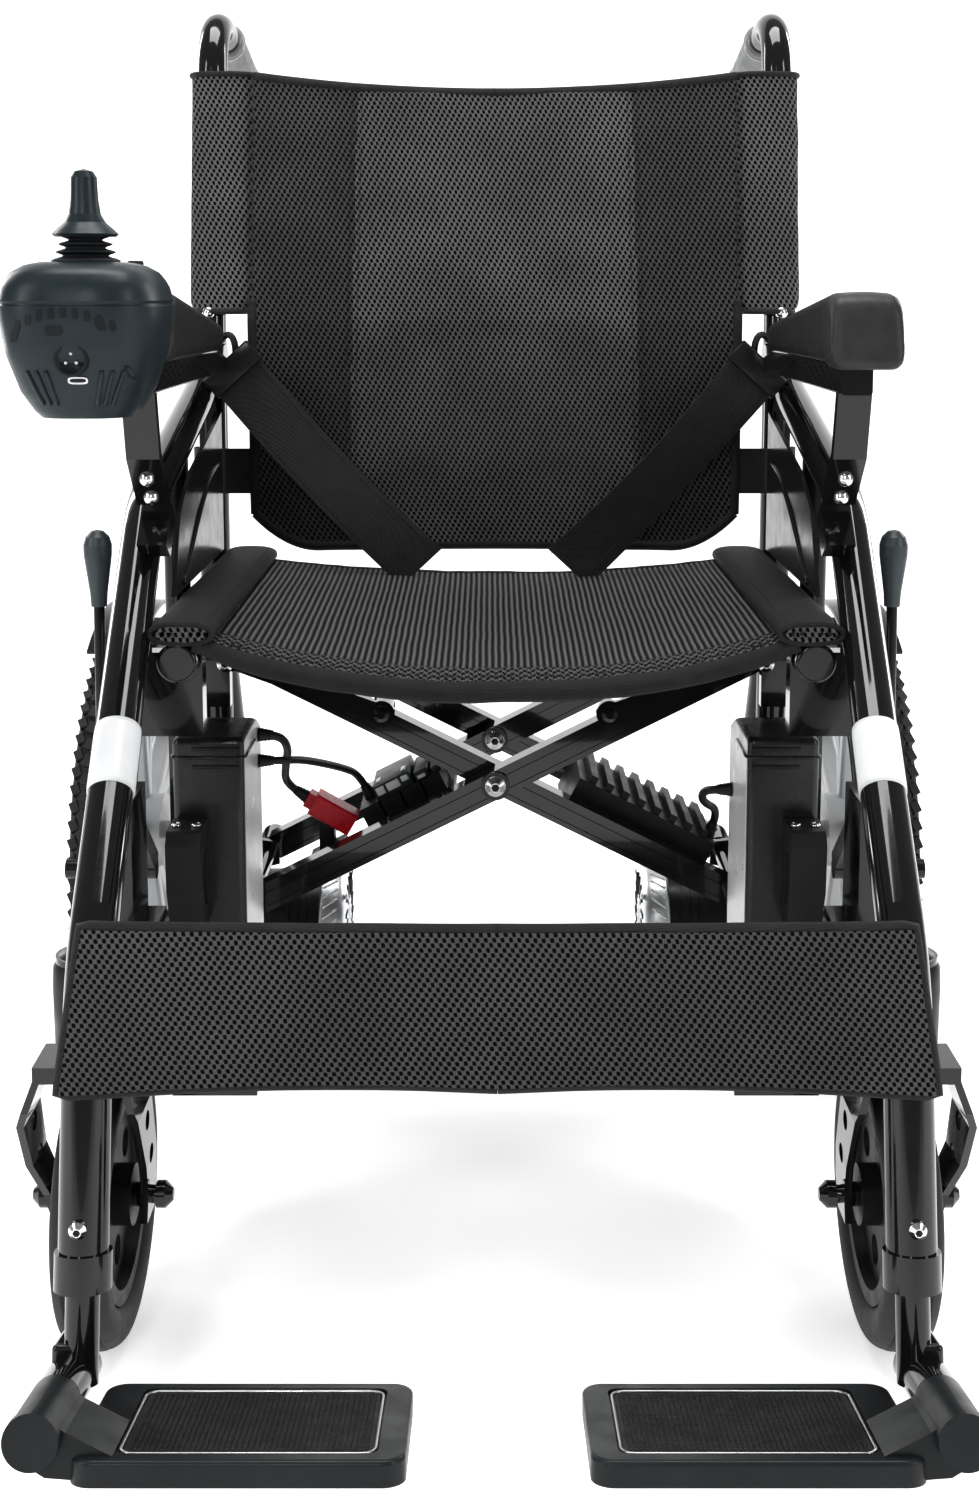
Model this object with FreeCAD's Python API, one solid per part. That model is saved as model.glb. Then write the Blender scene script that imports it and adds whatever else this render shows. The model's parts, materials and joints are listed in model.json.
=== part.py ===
import FreeCAD, Part
import math
import os

# Folding power wheelchair, in millimetres. +X is the occupant's left, +Y points to
# the rear and +Z up. Depths are first counted from a plane just behind the legs, then every piece
# is shifted so that the origin lies under the centre of the whole chair.

V = FreeCAD.Vector
UP = V(0, 0, 1)
ACROSS = V(1, 0, 0)
REARWARD = V(0, 1, 0)

# ---- driving dimensions ----
WHEEL_R = 200.0            # 16 inch rear wheel
WHEEL_X = 329.0            # middle of the rear tyre
WHEEL_Y = 585.0            # rear axle
TYRE_W = 52.0
CASTER_R = 97.0            # 8 inch caster
CASTER_W = 36.0
CASTER_X = 262.0
STEM_Y = 56.0
CASTER_TRAIL = 40.0
FRAME_X = 248.0            # main tube and lower rail
LEG_X = 230.0              # leg, a little nearer the middle of the chair
LEG_R = 14.0
LEG_LEAN = 12.0            # degrees that the leg leans forward
LEG_REACH = 100.0          # how far the leg stands in front of Y 0, at the lower rail's height
LEG_END_Z = 172.0
EXTENSION_R = 9.5          # telescopic tube inside the leg
CANE_X = 240.0
CANE_Y = 485.0
TUBE_R = 12.7
WALL = 2.0
LOW_RAIL_Z = 212.0
BACK_BEND_Z = 674.0        # above this height the back cane leans rearward
BACK_TOP_Z = 880.0
BACK_LOW_Z = 478.0
SEAT_X = 211.0             # seat rail
SEAT_Z = 456.0
SEAT_FRONT_Y = 125.0
SEAT_REAR_Y = 478.0
PIVOT_X = 190.0            # lower pivots of the cross brace
CROSS_Z = 326.0            # centre pivot of the cross brace
BRACE_RISE = 0.503         # rise of a brace arm over its run
BRACE_LAYERS = (286.0, 427.0)   # front faces of the front and rear pairs
LINK_X = 200.0             # fold link's pivot on the side frame
LINK_Z = 426.0
KNUCKLE_X = 85.8           # fold link's pivot on the brace arm
KNUCKLE_Z = 384.0
ARM_DEEP = 18.0
ARM_HIGH = 21.0
BATTERY = (177.0, 187.0, 130.0, 228.0, 283.0, 388.0)
ARMREST_X = 232.0          # middle of the armrest
ARMREST_PIVOT = (450.0, 645.0)
ARMREST_BAR = (633.0, 653.0)     # underside and top of the bar under the pad
BAR_FRONT = 112.0
PAD_HALF = 23.0
PAD_FRONT = {"right": 82.0, "left": 122.0}    # the joystick takes the front of the left armrest
PAD_REAR = 345.0
PAD_TOP = (698.0, 675.0)         # height of the pad's top at its front and its rear
STICK = (-250.0, 60.0, 700.0)    # point that the joystick tilts about
STICK_TOP = 717.0                # top of the housing round the joystick
BUTTONS = {
    "power_button": (STICK[0] - 24.0, STICK[1] + 31.0),
    "speed_down_button": (STICK[0] - 8.0, STICK[1] + 34.0),
    "speed_up_button": (STICK[0] + 8.0, STICK[1] + 34.0),
    "horn_button": (STICK[0] + 24.0, STICK[1] + 31.0),
}
PLATE_TILT = 13.0
HINGE = (236.0, -118.0, 104.0)  # footplate hinge where it passes the leg
HINGE_CAP_R = 14.4
HINGE_CAP_OUT = 94.0       # how far the hinge's front cap is from the point above
PLUG_AT = (-130.0, 290.0)  # middle of the power plug
PLUG_SLOPE = 30.0
BRAKE_PIVOT = (262.0, 318.0)
RUNNING = 0.05             # radial clearance of a running fit
GAP = 0.4                  # clearance between surfaces that slide past each other

TILT = math.radians(PLATE_TILT)
FRONT_Y = HINGE[1] - HINGE_CAP_OUT * math.cos(TILT) - HINGE_CAP_R * math.sin(TILT)
MIDDLE_Y = (FRONT_Y + WHEEL_Y + WHEEL_R) / 2


# ---- shape helpers ----
def box(x0, y0, z0, x1, y1, z1):
    return Part.makeBox(x1 - x0, y1 - y0, z1 - z0, V(x0, y0, z0))


def rod(start, end, radius):
    start, end = V(*start), V(*end)
    return Part.makeCylinder(radius, (end - start).Length, start, end - start)


def soften(shape, radius, pick=None):
    edges = [e for e in shape.Edges if pick is None or pick(e)]
    return shape.makeFillet(radius, edges)


def runs_along(axis):
    def test(edge):
        if edge.Curve.TypeId != "Part::GeomLine":
            return False
        way = edge.Vertexes[-1].Point - edge.Vertexes[0].Point
        return abs(way.normalize().dot(axis)) > 0.999
    return test


def rounded_box(x0, y0, z0, x1, y1, z1, radius, axis=None):
    block = box(x0, y0, z0, x1, y1, z1)
    return soften(block, radius, runs_along(axis) if axis else None)


def bent_path(points, radii):
    """Straight runs joined by tangent arcs; one radius for each inner point."""
    points = [V(*p) for p in points]
    edges = []
    start = points[0]
    for i, radius in enumerate(radii, 1):
        before = (points[i - 1] - points[i]).normalize()
        after = (points[i + 1] - points[i]).normalize()
        half = before.getAngle(after) / 2
        reach = radius / math.tan(half)
        a = points[i] + before * reach
        b = points[i] + after * reach
        middle = (before + after).normalize()
        m = points[i] + middle * (radius / math.sin(half) - radius)
        if (a - start).Length > 1e-6:
            edges.append(Part.LineSegment(start, a).toShape())
        edges.append(Part.Arc(a, m, b).toShape())
        start = b
    edges.append(Part.LineSegment(start, points[-1]).toShape())
    return Part.Wire(edges)


def sweep(points, radii, radius):
    path = bent_path(points, radii)
    first = path.OrderedEdges[0]
    begin = V(*points[0])
    circle = Part.Wire(Part.makeCircle(radius, begin, first.tangentAt(first.FirstParameter)))
    return path.makePipeShell([circle], True, False)


def lead_tube(points, radius):
    """A lead's own radii: each is 0.45 of its shorter run over the tangent of half the turn."""
    corners = [V(*p) for p in points]
    radii = []
    for a, b, c in zip(corners, corners[1:], corners[2:]):
        turn = (b - a).getAngle(c - b)
        radii.append(0.45 * min((b - a).Length, (c - b).Length) / math.tan(turn / 2))
    path = bent_path(points, radii)
    tube = sweep(points, radii, radius)
    print("lead length", round(path.Length), "radii", [round(r) for r in radii],
          "volume ratio", round(tube.Volume / (math.pi * radius ** 2 * path.Length), 3))
    return tube


def prism(points, axis, start, length):
    """A flat outline pushed along an axis: YZ points along X, or XZ points along Y."""
    if axis == "x":
        corners = [V(start, a, b) for a, b in points]
        way = V(length, 0, 0)
    else:
        corners = [V(a, start, b) for a, b in points]
        way = V(0, length, 0)
    return Part.Face(Part.makePolygon(corners + corners[:1])).extrude(way)


def lathe(points, centre, axis="x"):
    """Turns an outline of (distance along the axis, radius) about a line through centre."""
    if axis == "x":
        corners = [V(d, r, 0) for d, r in points]
        turned = Part.Face(Part.makePolygon(corners + corners[:1]))
        turned = turned.revolve(V(0, 0, 0), ACROSS, 360)
    else:
        corners = [V(r, 0, d) for d, r in points]
        turned = Part.Face(Part.makePolygon(corners + corners[:1]))
        turned = turned.revolve(V(0, 0, 0), UP, 360)
    turned.translate(V(*centre))
    return turned


def rounded_plan(wide, deep, corner, centre):
    """A level rounded rectangle as a wire, for lofts."""
    x, y, z = centre
    block = box(x - wide / 2, y - deep / 2, z, x + wide / 2, y + deep / 2, z + 1)
    block = soften(block, corner, runs_along(UP))
    bottom = min(block.Faces, key=lambda f: f.CenterOfMass.z)
    return bottom.OuterWire


def fuse(shapes):
    return shapes[0].multiFuse(shapes[1:]).removeSplitter()


def bolt_x(x, y, z, outward, radius=6.0):
    """A domed hex bolt head whose shank line runs across the chair."""
    head = lathe([(0, 0), (0, radius), (3, radius), (5.5, radius * 0.5), (5.5, 0)], (x, y, z))
    if outward < 0:
        head = head.mirror(V(x, y, z), ACROSS)
    return head


def bolt_y(x, y, z, radius=6.0):
    """The same head seen from the front of the chair."""
    head = bolt_x(0, 0, 0, 1, radius)
    head.rotate(V(0, 0, 0), UP, -90)
    head.translate(V(x, y, z))
    return head


def save(name, shapes):
    shapes = shapes if isinstance(shapes, list) else [shapes]
    solids = [s for shape in shapes for s in shape.Solids]
    whole = Part.makeCompound(solids) if len(solids) > 1 else solids[0]
    whole = whole.copy()
    whole.translate(V(0, -MIDDLE_Y, 0))
    assert whole.isValid(), name
    whole.exportStep("parts/%s.step" % name)
    size = whole.BoundBox
    print("%-24s %2d %8.1f cm3  x %7.1f %7.1f  y %7.1f %7.1f  z %7.1f %7.1f" % (
        name, len(solids), whole.Volume / 1000, size.XMin, size.XMax,
        size.YMin, size.YMax, size.ZMin, size.ZMax))


def save_pair(name, shapes):
    """Saves the piece as built on the +X side, and its mirror image on the other."""
    shapes = shapes if isinstance(shapes, list) else [shapes]
    save("right_" + name, shapes)
    save("left_" + name, [s.mirror(V(0, 0, 0), ACROSS) for s in shapes])


# ---- side frame ----
def leg_y(z):
    return (z - LOW_RAIL_Z) * math.tan(math.radians(LEG_LEAN)) - LEG_REACH


def on_leg(z):
    return (LEG_X, leg_y(z), z)


MAIN_TUBE = [(FRAME_X, CANE_Y, 618.0), (FRAME_X, 222.0, 552.0), on_leg(318.0), on_leg(LEG_END_Z)]
MAIN_BENDS = [150.0, 110.0]
GRIP_BEND = (CANE_X, CANE_Y + 46.0, 935.0)
GRIP_END = (CANE_X, CANE_Y + 235.0, 897.0)
CANE = [(CANE_X, CANE_Y, LOW_RAIL_Z), (CANE_X, CANE_Y, BACK_BEND_Z), GRIP_BEND, GRIP_END]
CANE_BENDS = [120.0, 50.0]


def side_frame():
    outer = [
        sweep(MAIN_TUBE, MAIN_BENDS, LEG_R),
        sweep(CANE, CANE_BENDS, TUBE_R),
        rod((FRAME_X, STEM_Y + 54, LOW_RAIL_Z), (FRAME_X, 540, LOW_RAIL_Z), TUBE_R),
        rod((FRAME_X, 342, LOW_RAIL_Z), (FRAME_X, 342, 585), 10.0),
        rod(on_leg(240), (CASTER_X - 4, STEM_Y - 4, 246), 12.0),
    ]
    inner = [
        sweep(MAIN_TUBE, MAIN_BENDS, LEG_R - WALL),
        sweep(CANE, CANE_BENDS, TUBE_R - WALL),
    ]
    axle_plate = prism([(500, 204), (500, 230), (560, 245), (610, 245), (635, 215), (635, 60),
                        (545, 60), (530, 190)], "x", 236, 5)
    stay = rod((232, CANE_Y, 400), (232, 580, 234), 8.0)
    housing = rod((CASTER_X, STEM_Y, 214), (CASTER_X, STEM_Y, 281), 19.0)
    rail_gusset = prism([(STEM_Y, 216), (STEM_Y + 100, 216), (STEM_Y + 100, 226), (STEM_Y, 268)],
                        "x", FRAME_X - 6, 12)
    tray = box(BATTERY[0] - 5, BATTERY[1], BATTERY[2] - 6, 233, BATTERY[4] + 1, BATTERY[2] - GAP)
    hanger = box(BATTERY[3] + 2, BATTERY[1] + 10, BATTERY[2] - 3, 238, BATTERY[4] - 10, LOW_RAIL_Z)
    front_cradle = box(196, 130, 404, 246, 146, 461).fuse(box(232, 130, 440, 246, 146, 480))
    post_plate = box(197, 262, 393, 240, 272, 461)
    post = box(232, 260, LOW_RAIL_Z, 243, 274, 440)
    mid_cradle = box(197, 334, 424, 247, 350, 461)
    rear_cradle = box(197, 466, 424, 236, 476, 461)
    rear_arm = box(228, 466, 424, 238, CANE_Y, 448)
    lugs = [prism([(PIVOT_X - 9, 221), (PIVOT_X - 9, 240), (PIVOT_X + 9, 242), (FRAME_X, 224),
                   (FRAME_X, 204)], "y", y, 7) for y in (324.5, 418.5)]
    brake_base = fuse([
        box(252, 226, 224, 272, 284, 232),
        box(266, 226, 224, 272, 284, 330),
        box(266, 226, 224, 300, 232, 310),
    ])
    lug_low, lug_high = ARMREST_X - 5.5, ARMREST_X + 5.5
    arm_y, arm_z = ARMREST_PIVOT
    arm_lug = fuse([
        box(lug_low, arm_y - 12, arm_z - 11, lug_high, CANE_Y, arm_z + 11),
        rod((lug_low, arm_y, arm_z), (lug_high, arm_y, arm_z), 11.0),
    ])
    armrest_socket = prism([(168, 520), (190, 542), (176, 556), (152, 530)], "x", ARMREST_X - 10, 20)
    solid = fuse(outer + [axle_plate, stay, housing, rail_gusset, tray, hanger, front_cradle,
                          post_plate, post, mid_cradle, rear_cradle, rear_arm, brake_base,
                          arm_lug, armrest_socket] + lugs)
    seat_way = fuse([
        rod((SEAT_X, 100, SEAT_Z), (SEAT_X, 480, SEAT_Z), TUBE_R + 0.6),
        box(SEAT_X - TUBE_R - 0.6, 100, SEAT_Z, SEAT_X + TUBE_R + 0.6, 480, SEAT_Z + 30),
    ])
    collar = rod(on_leg(LEG_END_Z - 20), on_leg(LEG_END_Z + 8), LEG_R - WALL)
    collar = collar.fuse(rod(on_leg(LEG_END_Z - 20), on_leg(LEG_END_Z), LEG_R + 2))
    leg_bore = rod(on_leg(LEG_END_Z - 24), on_leg(LEG_END_Z + 12), EXTENSION_R + RUNNING)
    stem_bore = rod((CASTER_X, STEM_Y, 200), (CASTER_X, STEM_Y, 276), 10 + RUNNING)
    axle_hole = rod((230, WHEEL_Y, WHEEL_R), (250, WHEEL_Y, WHEEL_R), 12.0)
    arm_hole = rod((lug_low - 2, arm_y, arm_z), (lug_high + 2, arm_y, arm_z), 5.0 + RUNNING)
    for hollow in inner + [seat_way, stem_bore, axle_hole, arm_hole]:
        solid = solid.cut(hollow)
    solid = solid.fuse(collar).cut(leg_bore)
    pivot_pin = rod((PIVOT_X, 284.5, pivot_z()), (PIVOT_X, 465.5, pivot_z()), 6.0 - RUNNING)
    link_pin = rod((LINK_X, 266, LINK_Z), (LINK_X, 284, LINK_Z), 4.0 - RUNNING)
    brake_pin = rod((266, *BRAKE_PIVOT), (285, *BRAKE_PIVOT), 4.0)
    solid = solid.fuse(pivot_pin).fuse(link_pin)
    return solid.fuse(brake_pin)


# ---- cross brace ----
def pivot_z():
    return CROSS_Z - BRACE_RISE * PIVOT_X


def brace_arm(front):
    """One bar of the arm that runs from the -X pivot up to the +X seat rail."""
    low = V(-PIVOT_X, 0, pivot_z())
    high = V(SEAT_X - 2, 0, CROSS_Z + BRACE_RISE * (SEAT_X - 2))
    length = (high - low).Length
    angle = math.degrees(math.atan(BRACE_RISE))
    bar = box(-2, 0, -ARM_HIGH / 2, length, ARM_DEEP, ARM_HIGH / 2)
    for z in (-5.0, 5.0):
        bar = bar.cut(box(14, -1, z - 1.6, length - 14, 1.2, z + 1.6))
    bar.rotate(V(0, 0, 0), REARWARD, -angle)
    bar.translate(low)
    gusset = prism([(SEAT_X - 22, 412), (SEAT_X + 6, 428), (SEAT_X + 8, 441), (SEAT_X - 18, 441)],
                   "y", 3, ARM_DEEP - 6)
    bar = fuse([bar, gusset])
    bar.translate(V(0, front, 0))
    return bar


def brace(mirrored):
    """Both bars of one arm, with their sleeves at the lower pivot and bores at the centre."""
    bars = []
    for layer in BRACE_LAYERS:
        front = layer + ((ARM_DEEP + 1) if mirrored else 0)
        bar = brace_arm(front)
        if mirrored:
            bar = bar.mirror(V(0, 0, 0), ACROSS)
        side = 1 if mirrored else -1
        sleeve_span = (layer, layer + 2 * ARM_DEEP + 1)
        sleeve = rod((side * PIVOT_X, sleeve_span[0], pivot_z()),
                     (side * PIVOT_X, sleeve_span[1], pivot_z()), 11.5)
        bar = fuse([bar, sleeve])
        bar = bar.cut(rod((side * PIVOT_X, layer - 5, pivot_z()),
                          (side * PIVOT_X, layer + 60, pivot_z()), 6.0))
        bar = bar.cut(rod((0, layer - 5, CROSS_Z), (0, layer + 60, CROSS_Z), 5.0 + RUNNING))
        bar = bar.cut(rod((-side * SEAT_X, layer - 5, SEAT_Z), (-side * SEAT_X, layer + 60, SEAT_Z),
                          TUBE_R + 0.05))
        bars.append(bar)
    boss_front = 285.0
    boss_rear = BRACE_LAYERS[0] + (ARM_DEEP + 4 if mirrored else 4)
    side = -1 if mirrored else 1
    boss = rod((side * KNUCKLE_X, boss_front, KNUCKLE_Z), (side * KNUCKLE_X, boss_rear, KNUCKLE_Z), 9.0)
    bars[0] = fuse([bars[0], boss])
    return bars


def centre_bolts():
    bolts = []
    for layer in BRACE_LAYERS:
        shank = rod((0, layer - 2, CROSS_Z), (0, layer + 2 * ARM_DEEP + 3, CROSS_Z), 5.0)
        washer = rod((0, layer - 2, CROSS_Z), (0, layer - 0.1, CROSS_Z), 11.0)
        head = bolt_y(0, layer - 1.5, CROSS_Z, 7.5)
        nut = rod((0, layer + 2 * ARM_DEEP + 1.3, CROSS_Z), (0, layer + 2 * ARM_DEEP + 8, CROSS_Z), 8.0)
        bolts.append(fuse([shank, washer, head, nut]))
    return bolts


def fold_link():
    """Flat bar from the side frame's post to the knuckle on the brace arm."""
    start = V(LINK_X, 277, LINK_Z)
    end = V(KNUCKLE_X, 277, KNUCKLE_Z)
    way = (end - start).normalize()
    across = V(-way.z, 0, way.x)
    corners = [start + across * 7, end + across * 7, end - across * 7, start - across * 7]
    bar = prism([(c.x, c.z) for c in corners], "y", 277, 6)
    eyes = [rod((p.x, 277, p.z), (p.x, 283, p.z), 10.0) for p in (start, end)]
    link = fuse([bar] + eyes)
    link = link.cut(rod((LINK_X, 270, LINK_Z), (LINK_X, 290, LINK_Z), 4.0))
    return link.fuse(bolt_y(KNUCKLE_X, 277.5, KNUCKLE_Z, 6.0))


def seat_rail():
    rail = rod((SEAT_X, SEAT_FRONT_Y, SEAT_Z), (SEAT_X, SEAT_REAR_Y, SEAT_Z), TUBE_R)
    bore = rod((SEAT_X, SEAT_FRONT_Y + 12, SEAT_Z), (SEAT_X, SEAT_REAR_Y - 12, SEAT_Z), TUBE_R - WALL)
    cap = rod((SEAT_X, SEAT_FRONT_Y - 8, SEAT_Z), (SEAT_X, SEAT_FRONT_Y - GAP, SEAT_Z), TUBE_R + 0.8)
    cap = soften(cap, 2.5, lambda e: e.BoundBox.YMax < SEAT_FRONT_Y - 7)
    return [rail.cut(bore), cap]


# ---- wheels ----
def tyre_outline(outer, inner, wide, crown):
    """Half-round tread on straight side walls, as points for the lathe."""
    half = wide / 2
    points = [(-half * 0.72, inner), (-half, inner + (outer - inner) * 0.35)]
    steps = 10
    for i in range(steps + 1):
        a = math.pi * i / steps
        points.append((-half * math.cos(a), outer - crown + crown * math.sin(a)))
    points += [(half, inner + (outer - inner) * 0.35), (half * 0.72, inner)]
    return points


def rear_wheel():
    centre = (WHEEL_X, WHEEL_Y, WHEEL_R)
    tyre = lathe(tyre_outline(WHEEL_R, 158.0, TYRE_W, 20.0), centre)
    rim = lathe([(-17, 140), (-20, 152), (-20, 157.6), (20, 157.6), (20, 152), (17, 140)], centre)
    hub = lathe([(-22, 0), (-22, 34), (24, 30), (24, 0)], centre)
    spokes = []
    for i in range(5):
        for lean in (-9.0, 9.0):
            spoke = box(-9, -8, 26, 9, 8, 143)
            spoke = soften(spoke, 4.0, runs_along(UP))
            spoke.rotate(V(0, 0, 30), ACROSS, lean)
            spoke.rotate(V(0, 0, 0), ACROSS, 72.0 * i)
            spoke.translate(V(*centre))
            spokes.append(spoke)
    shaft = rod((246, WHEEL_Y, WHEEL_R), (WHEEL_X, WHEEL_Y, WHEEL_R), 8.0)
    cap = lathe([(24, 0), (24, 20), (25.5, 17), (26, 0)], centre)
    return tyre, fuse([rim, hub, shaft, cap] + spokes)


def caster():
    centre = (CASTER_X, STEM_Y + CASTER_TRAIL, CASTER_R)
    tyre = lathe(tyre_outline(CASTER_R, 70.0, CASTER_W, 12.0), centre)
    disc = lathe([(-6, 18), (-6, 58), (-14, 60), (-14, 69.7), (14, 69.7), (14, 60), (6, 58), (6, 18)],
                 centre)
    windows = []
    for i in range(6):
        window = rod((-30, 0, 40), (30, 0, 40), 10.0)
        window.rotate(V(0, 0, 0), ACROSS, 60.0 * i)
        window.translate(V(*centre))
        windows.append(window)
    hub = lathe([(-19, 6), (-19, 20), (19, 20), (19, 6)], centre)
    hub = fuse([disc.cut(fuse(windows)), hub])
    return tyre, hub


def caster_fork():
    """Two pressed legs on a crown; the outer leg bulges away from the tyre."""
    axle_y = STEM_Y + CASTER_TRAIL
    side = Part.Face(Part.makePolygon([V(0, y, z) for y, z in (
        (STEM_Y - 16, 210), (STEM_Y + 22, 210), (axle_y + 15, 104), (axle_y + 12, 82),
        (axle_y - 12, 82), (axle_y - 15, 104), (STEM_Y - 16, 180), (STEM_Y - 16, 210))]))
    slab = side.extrude(V(400, 0, 0))

    def strip(outside):
        inside = [(x - 5 * s, z) for x, z, s in outside]
        return prism([(x, z) for x, z, s in outside] + inside[::-1], "y", 0, 200)

    outer = strip([(CASTER_X + 30, 210, 1), (CASTER_X + 46, 168, 1), (CASTER_X + 46, 132, 1),
                   (CASTER_X + 33, 80, 1)])
    inner = strip([(CASTER_X - 26, 210, -1), (CASTER_X - 33, 172, -1), (CASTER_X - 33, 130, -1),
                   (CASTER_X - 29, 80, -1)])
    legs = [slab.common(outer), slab.common(inner)]
    for z in (132, 160):
        y = STEM_Y + CASTER_TRAIL * (210 - z) / 106 - 1
        hole = rod((0, y, z), (400, y, z), 6.5)
        legs = [leg.cut(hole) for leg in legs]
    crown = box(CASTER_X - 30, STEM_Y - 16, 200, CASTER_X + 33, STEM_Y + 22, 211)
    stem = rod((CASTER_X, STEM_Y, 205), (CASTER_X, STEM_Y, 274), 10.0)
    axle = rod((CASTER_X - 38, axle_y, CASTER_R), (CASTER_X + 42, axle_y, CASTER_R), 6 - RUNNING)
    nuts = [lathe([(0, 0), (0, 9), (6, 9), (11, 4), (11, 0)], (CASTER_X + 38, axle_y, CASTER_R)),
            lathe([(0, 0), (0, 9), (-6, 9), (-11, 4), (-11, 0)], (CASTER_X - 34, axle_y, CASTER_R))]
    spacers = [rod((CASTER_X + 19.5, axle_y, CASTER_R), (CASTER_X + 34, axle_y, CASTER_R), 8.0),
               rod((CASTER_X - 28, axle_y, CASTER_R), (CASTER_X - 19.5, axle_y, CASTER_R), 8.0)]
    return fuse(legs + [crown, stem, axle] + nuts + spacers)


# ---- drive ----
def drive_motor():
    """Gearbox outside the axle plate; the motor lies below the axle and points inward."""
    low = (WHEEL_Y, 112.0)
    gearbox = fuse([
        rod((243, WHEEL_Y, WHEEL_R), (283, WHEEL_Y, WHEEL_R), 38.0),
        rod((243, *low), (276, *low), 44.0),
        box(243, WHEEL_Y - 36, low[1], 278, WHEEL_Y + 36, WHEEL_R),
    ])
    gearbox = gearbox.cut(rod((240, WHEEL_Y, WHEEL_R), (290, WHEEL_Y, WHEEL_R), 8.0 + RUNNING))
    can = rod((160, *low), (235.5, *low), 48.0)
    grooves = [lathe([(x, 46.5), (x, 50), (x + 2.5, 50), (x + 2.5, 46.5)], (0, *low))
               for x in (170, 178, 186)]
    can = can.cut(fuse(grooves))
    drum = lathe([(160, 0), (160, 54), (142, 54), (137, 47), (137, 20), (141, 16), (141, 0)], (0, *low))
    return [gearbox, can.fuse(drum)]


def battery():
    x0, y0, z0, x1, y1, z1 = BATTERY
    case = rounded_box(x0, y0, z0, x1, y1, z1, 5.0)
    top_cut = prism([(y0 + 60, z1 + 1), (y1 + 1, z1 + 1), (y1 + 1, z1 - 16)], "x", x0 - 1, x1 - x0 + 2)
    case = case.cut(top_cut)
    inside = box(x0 + 3, y0 + 3, z0 + 3, x1 - 3, y1 - 3, z1 - 22)
    case = case.cut(inside)
    cells = box(x0 + 5, y0 + 5, z0 + 5, x1 - 5, y1 - 5, z1 - 40)
    return [case, cells]


def battery_handle():
    x0, x1 = 203.0, 227.0
    front = BATTERY[1] - 40
    grip = prism([(BATTERY[1] - GAP, 331), (front + 6, 331), (front, 322), (front + 2, 288),
                  (front + 14, 262), (BATTERY[1] - GAP, 256)], "x", x0, x1 - x0)
    hollow = prism([(BATTERY[1] - 10, 312), (front + 13, 312), (front + 12, 290), (front + 20, 274),
                    (BATTERY[1] - 10, 272)], "x", x0 - 1, x1 - x0 + 2)
    grip = soften(grip, 3.0, runs_along(ACROSS))
    return grip.cut(hollow)


# ---- guards, brake, footrest ----
def side_guard():
    panel = prism([(225, 482), (256, 540), (300, 562), (465, 598), (465, 482)], "x", 229.6, 2.8)
    fender = []
    for radius in (WHEEL_R + 12, WHEEL_R + 15):
        fender.append(rod((WHEEL_X - 24, WHEEL_Y, WHEEL_R), (WHEEL_X + 24, WHEEL_Y, WHEEL_R), radius))
    arc = fender[1].cut(fender[0])
    wedge = prism([(WHEEL_Y, WHEEL_R), (WHEEL_Y - 160, WHEEL_R + 300), (WHEEL_Y + 40, WHEEL_R + 300)],
                  "x", 200, 200)
    arc = arc.common(wedge)
    strut = fuse([box(258, 492, 395, WHEEL_X, 512, 399), box(253.5, 478, 385, 258.5, 512, 399)])
    strut = strut.cut(rod((CANE_X, CANE_Y, 300), (CANE_X, CANE_Y, 450), TUBE_R + 0.1))
    return [panel, arc, strut.cut(fender[1])]


def brake_lever():
    """Rod and knob above the pivot, and a short arm that carries the shoe in front of the tyre."""
    y, z = BRAKE_PIVOT
    eye = rod((274, y, z), (283, y, z), 12.0)
    arm = prism([(y - 8, z + 8), (y + 8, z + 10), (372, 246), (366, 228)], "x", 274, 6)
    shoe = rod((274, 364, 235), (WHEEL_X + 18, 364, 235), 8.0)
    bend = (293.6, y + 2, z + 62)
    stalk = [rod((279, y, z + 4), bend, 4.0), rod(bend, (293.6, y + 6, z + 154), 4.0),
             Part.makeSphere(4.0, V(*bend))]
    knob = lathe([(0, 0), (0, 5.8), (10, 6.4), (38, 10.2), (46, 10.4), (52, 8.6), (56, 4.5), (57, 0)],
                 (293.6, y + 6, z + 150), "z")
    lever = fuse([eye, arm, shoe] + stalk)
    lever = lever.cut(rod((270, y, z), (290, y, z), 4.0 + RUNNING))
    lever = lever.cut(knob)
    return [lever, knob]


def tilted(shape):
    shape = shape.copy()
    shape.rotate(V(*HINGE), ACROSS, -PLATE_TILT)
    return shape


def footrest_tube():
    """Telescopic tube with the fixed half of the footplate's hinge."""
    tube = rod(on_leg(102), on_leg(245), EXTENSION_R)
    x, y, z = HINGE
    barrel = rod((x, y - 38, z), (x, y + 14, z), HINGE_CAP_R - 1)
    cheek = rounded_box(x - 11, y - 14, z - 4, x + 9, y + 14, z + 20, 3.0)
    pin = rod((x, y - 86, z), (x, y, z), 5.0 - RUNNING)
    return fuse([tube, tilted(barrel), tilted(cheek), tilted(pin)])


def footplate():
    x, y, z = HINGE
    plate = box(47, y - 92, z - 22.5, 218, y + 14, z - 9.5)
    plate = soften(plate, 12.0, runs_along(UP))
    plate = soften(plate, 2.5, lambda e: e.BoundBox.ZMin > z - 9.6)
    well = box(61, y - 82, z - 11.5, 196, y + 5, z - 8)
    well = soften(well, 6.0, runs_along(UP))
    barrel = rod((x, y - 88, z), (x, y - 39, z), HINGE_CAP_R - 0.8)
    cap = rod((x, y - HINGE_CAP_OUT, z), (x, y - 88, z), HINGE_CAP_R)
    web = prism([(x - 40, z - 22.5), (x - 6, z - 20), (x + 6, z - 13), (x, z + 12), (x - 16, z + 2),
                 (x - 40, z - 9.5)], "y", y - 86, 46)
    bore = rod((x, y - 87, z), (x, y - 38, z), 5.0)
    whole = fuse([plate, barrel, cap, web]).cut(bore).cut(well)
    return tilted(whole)


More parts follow.
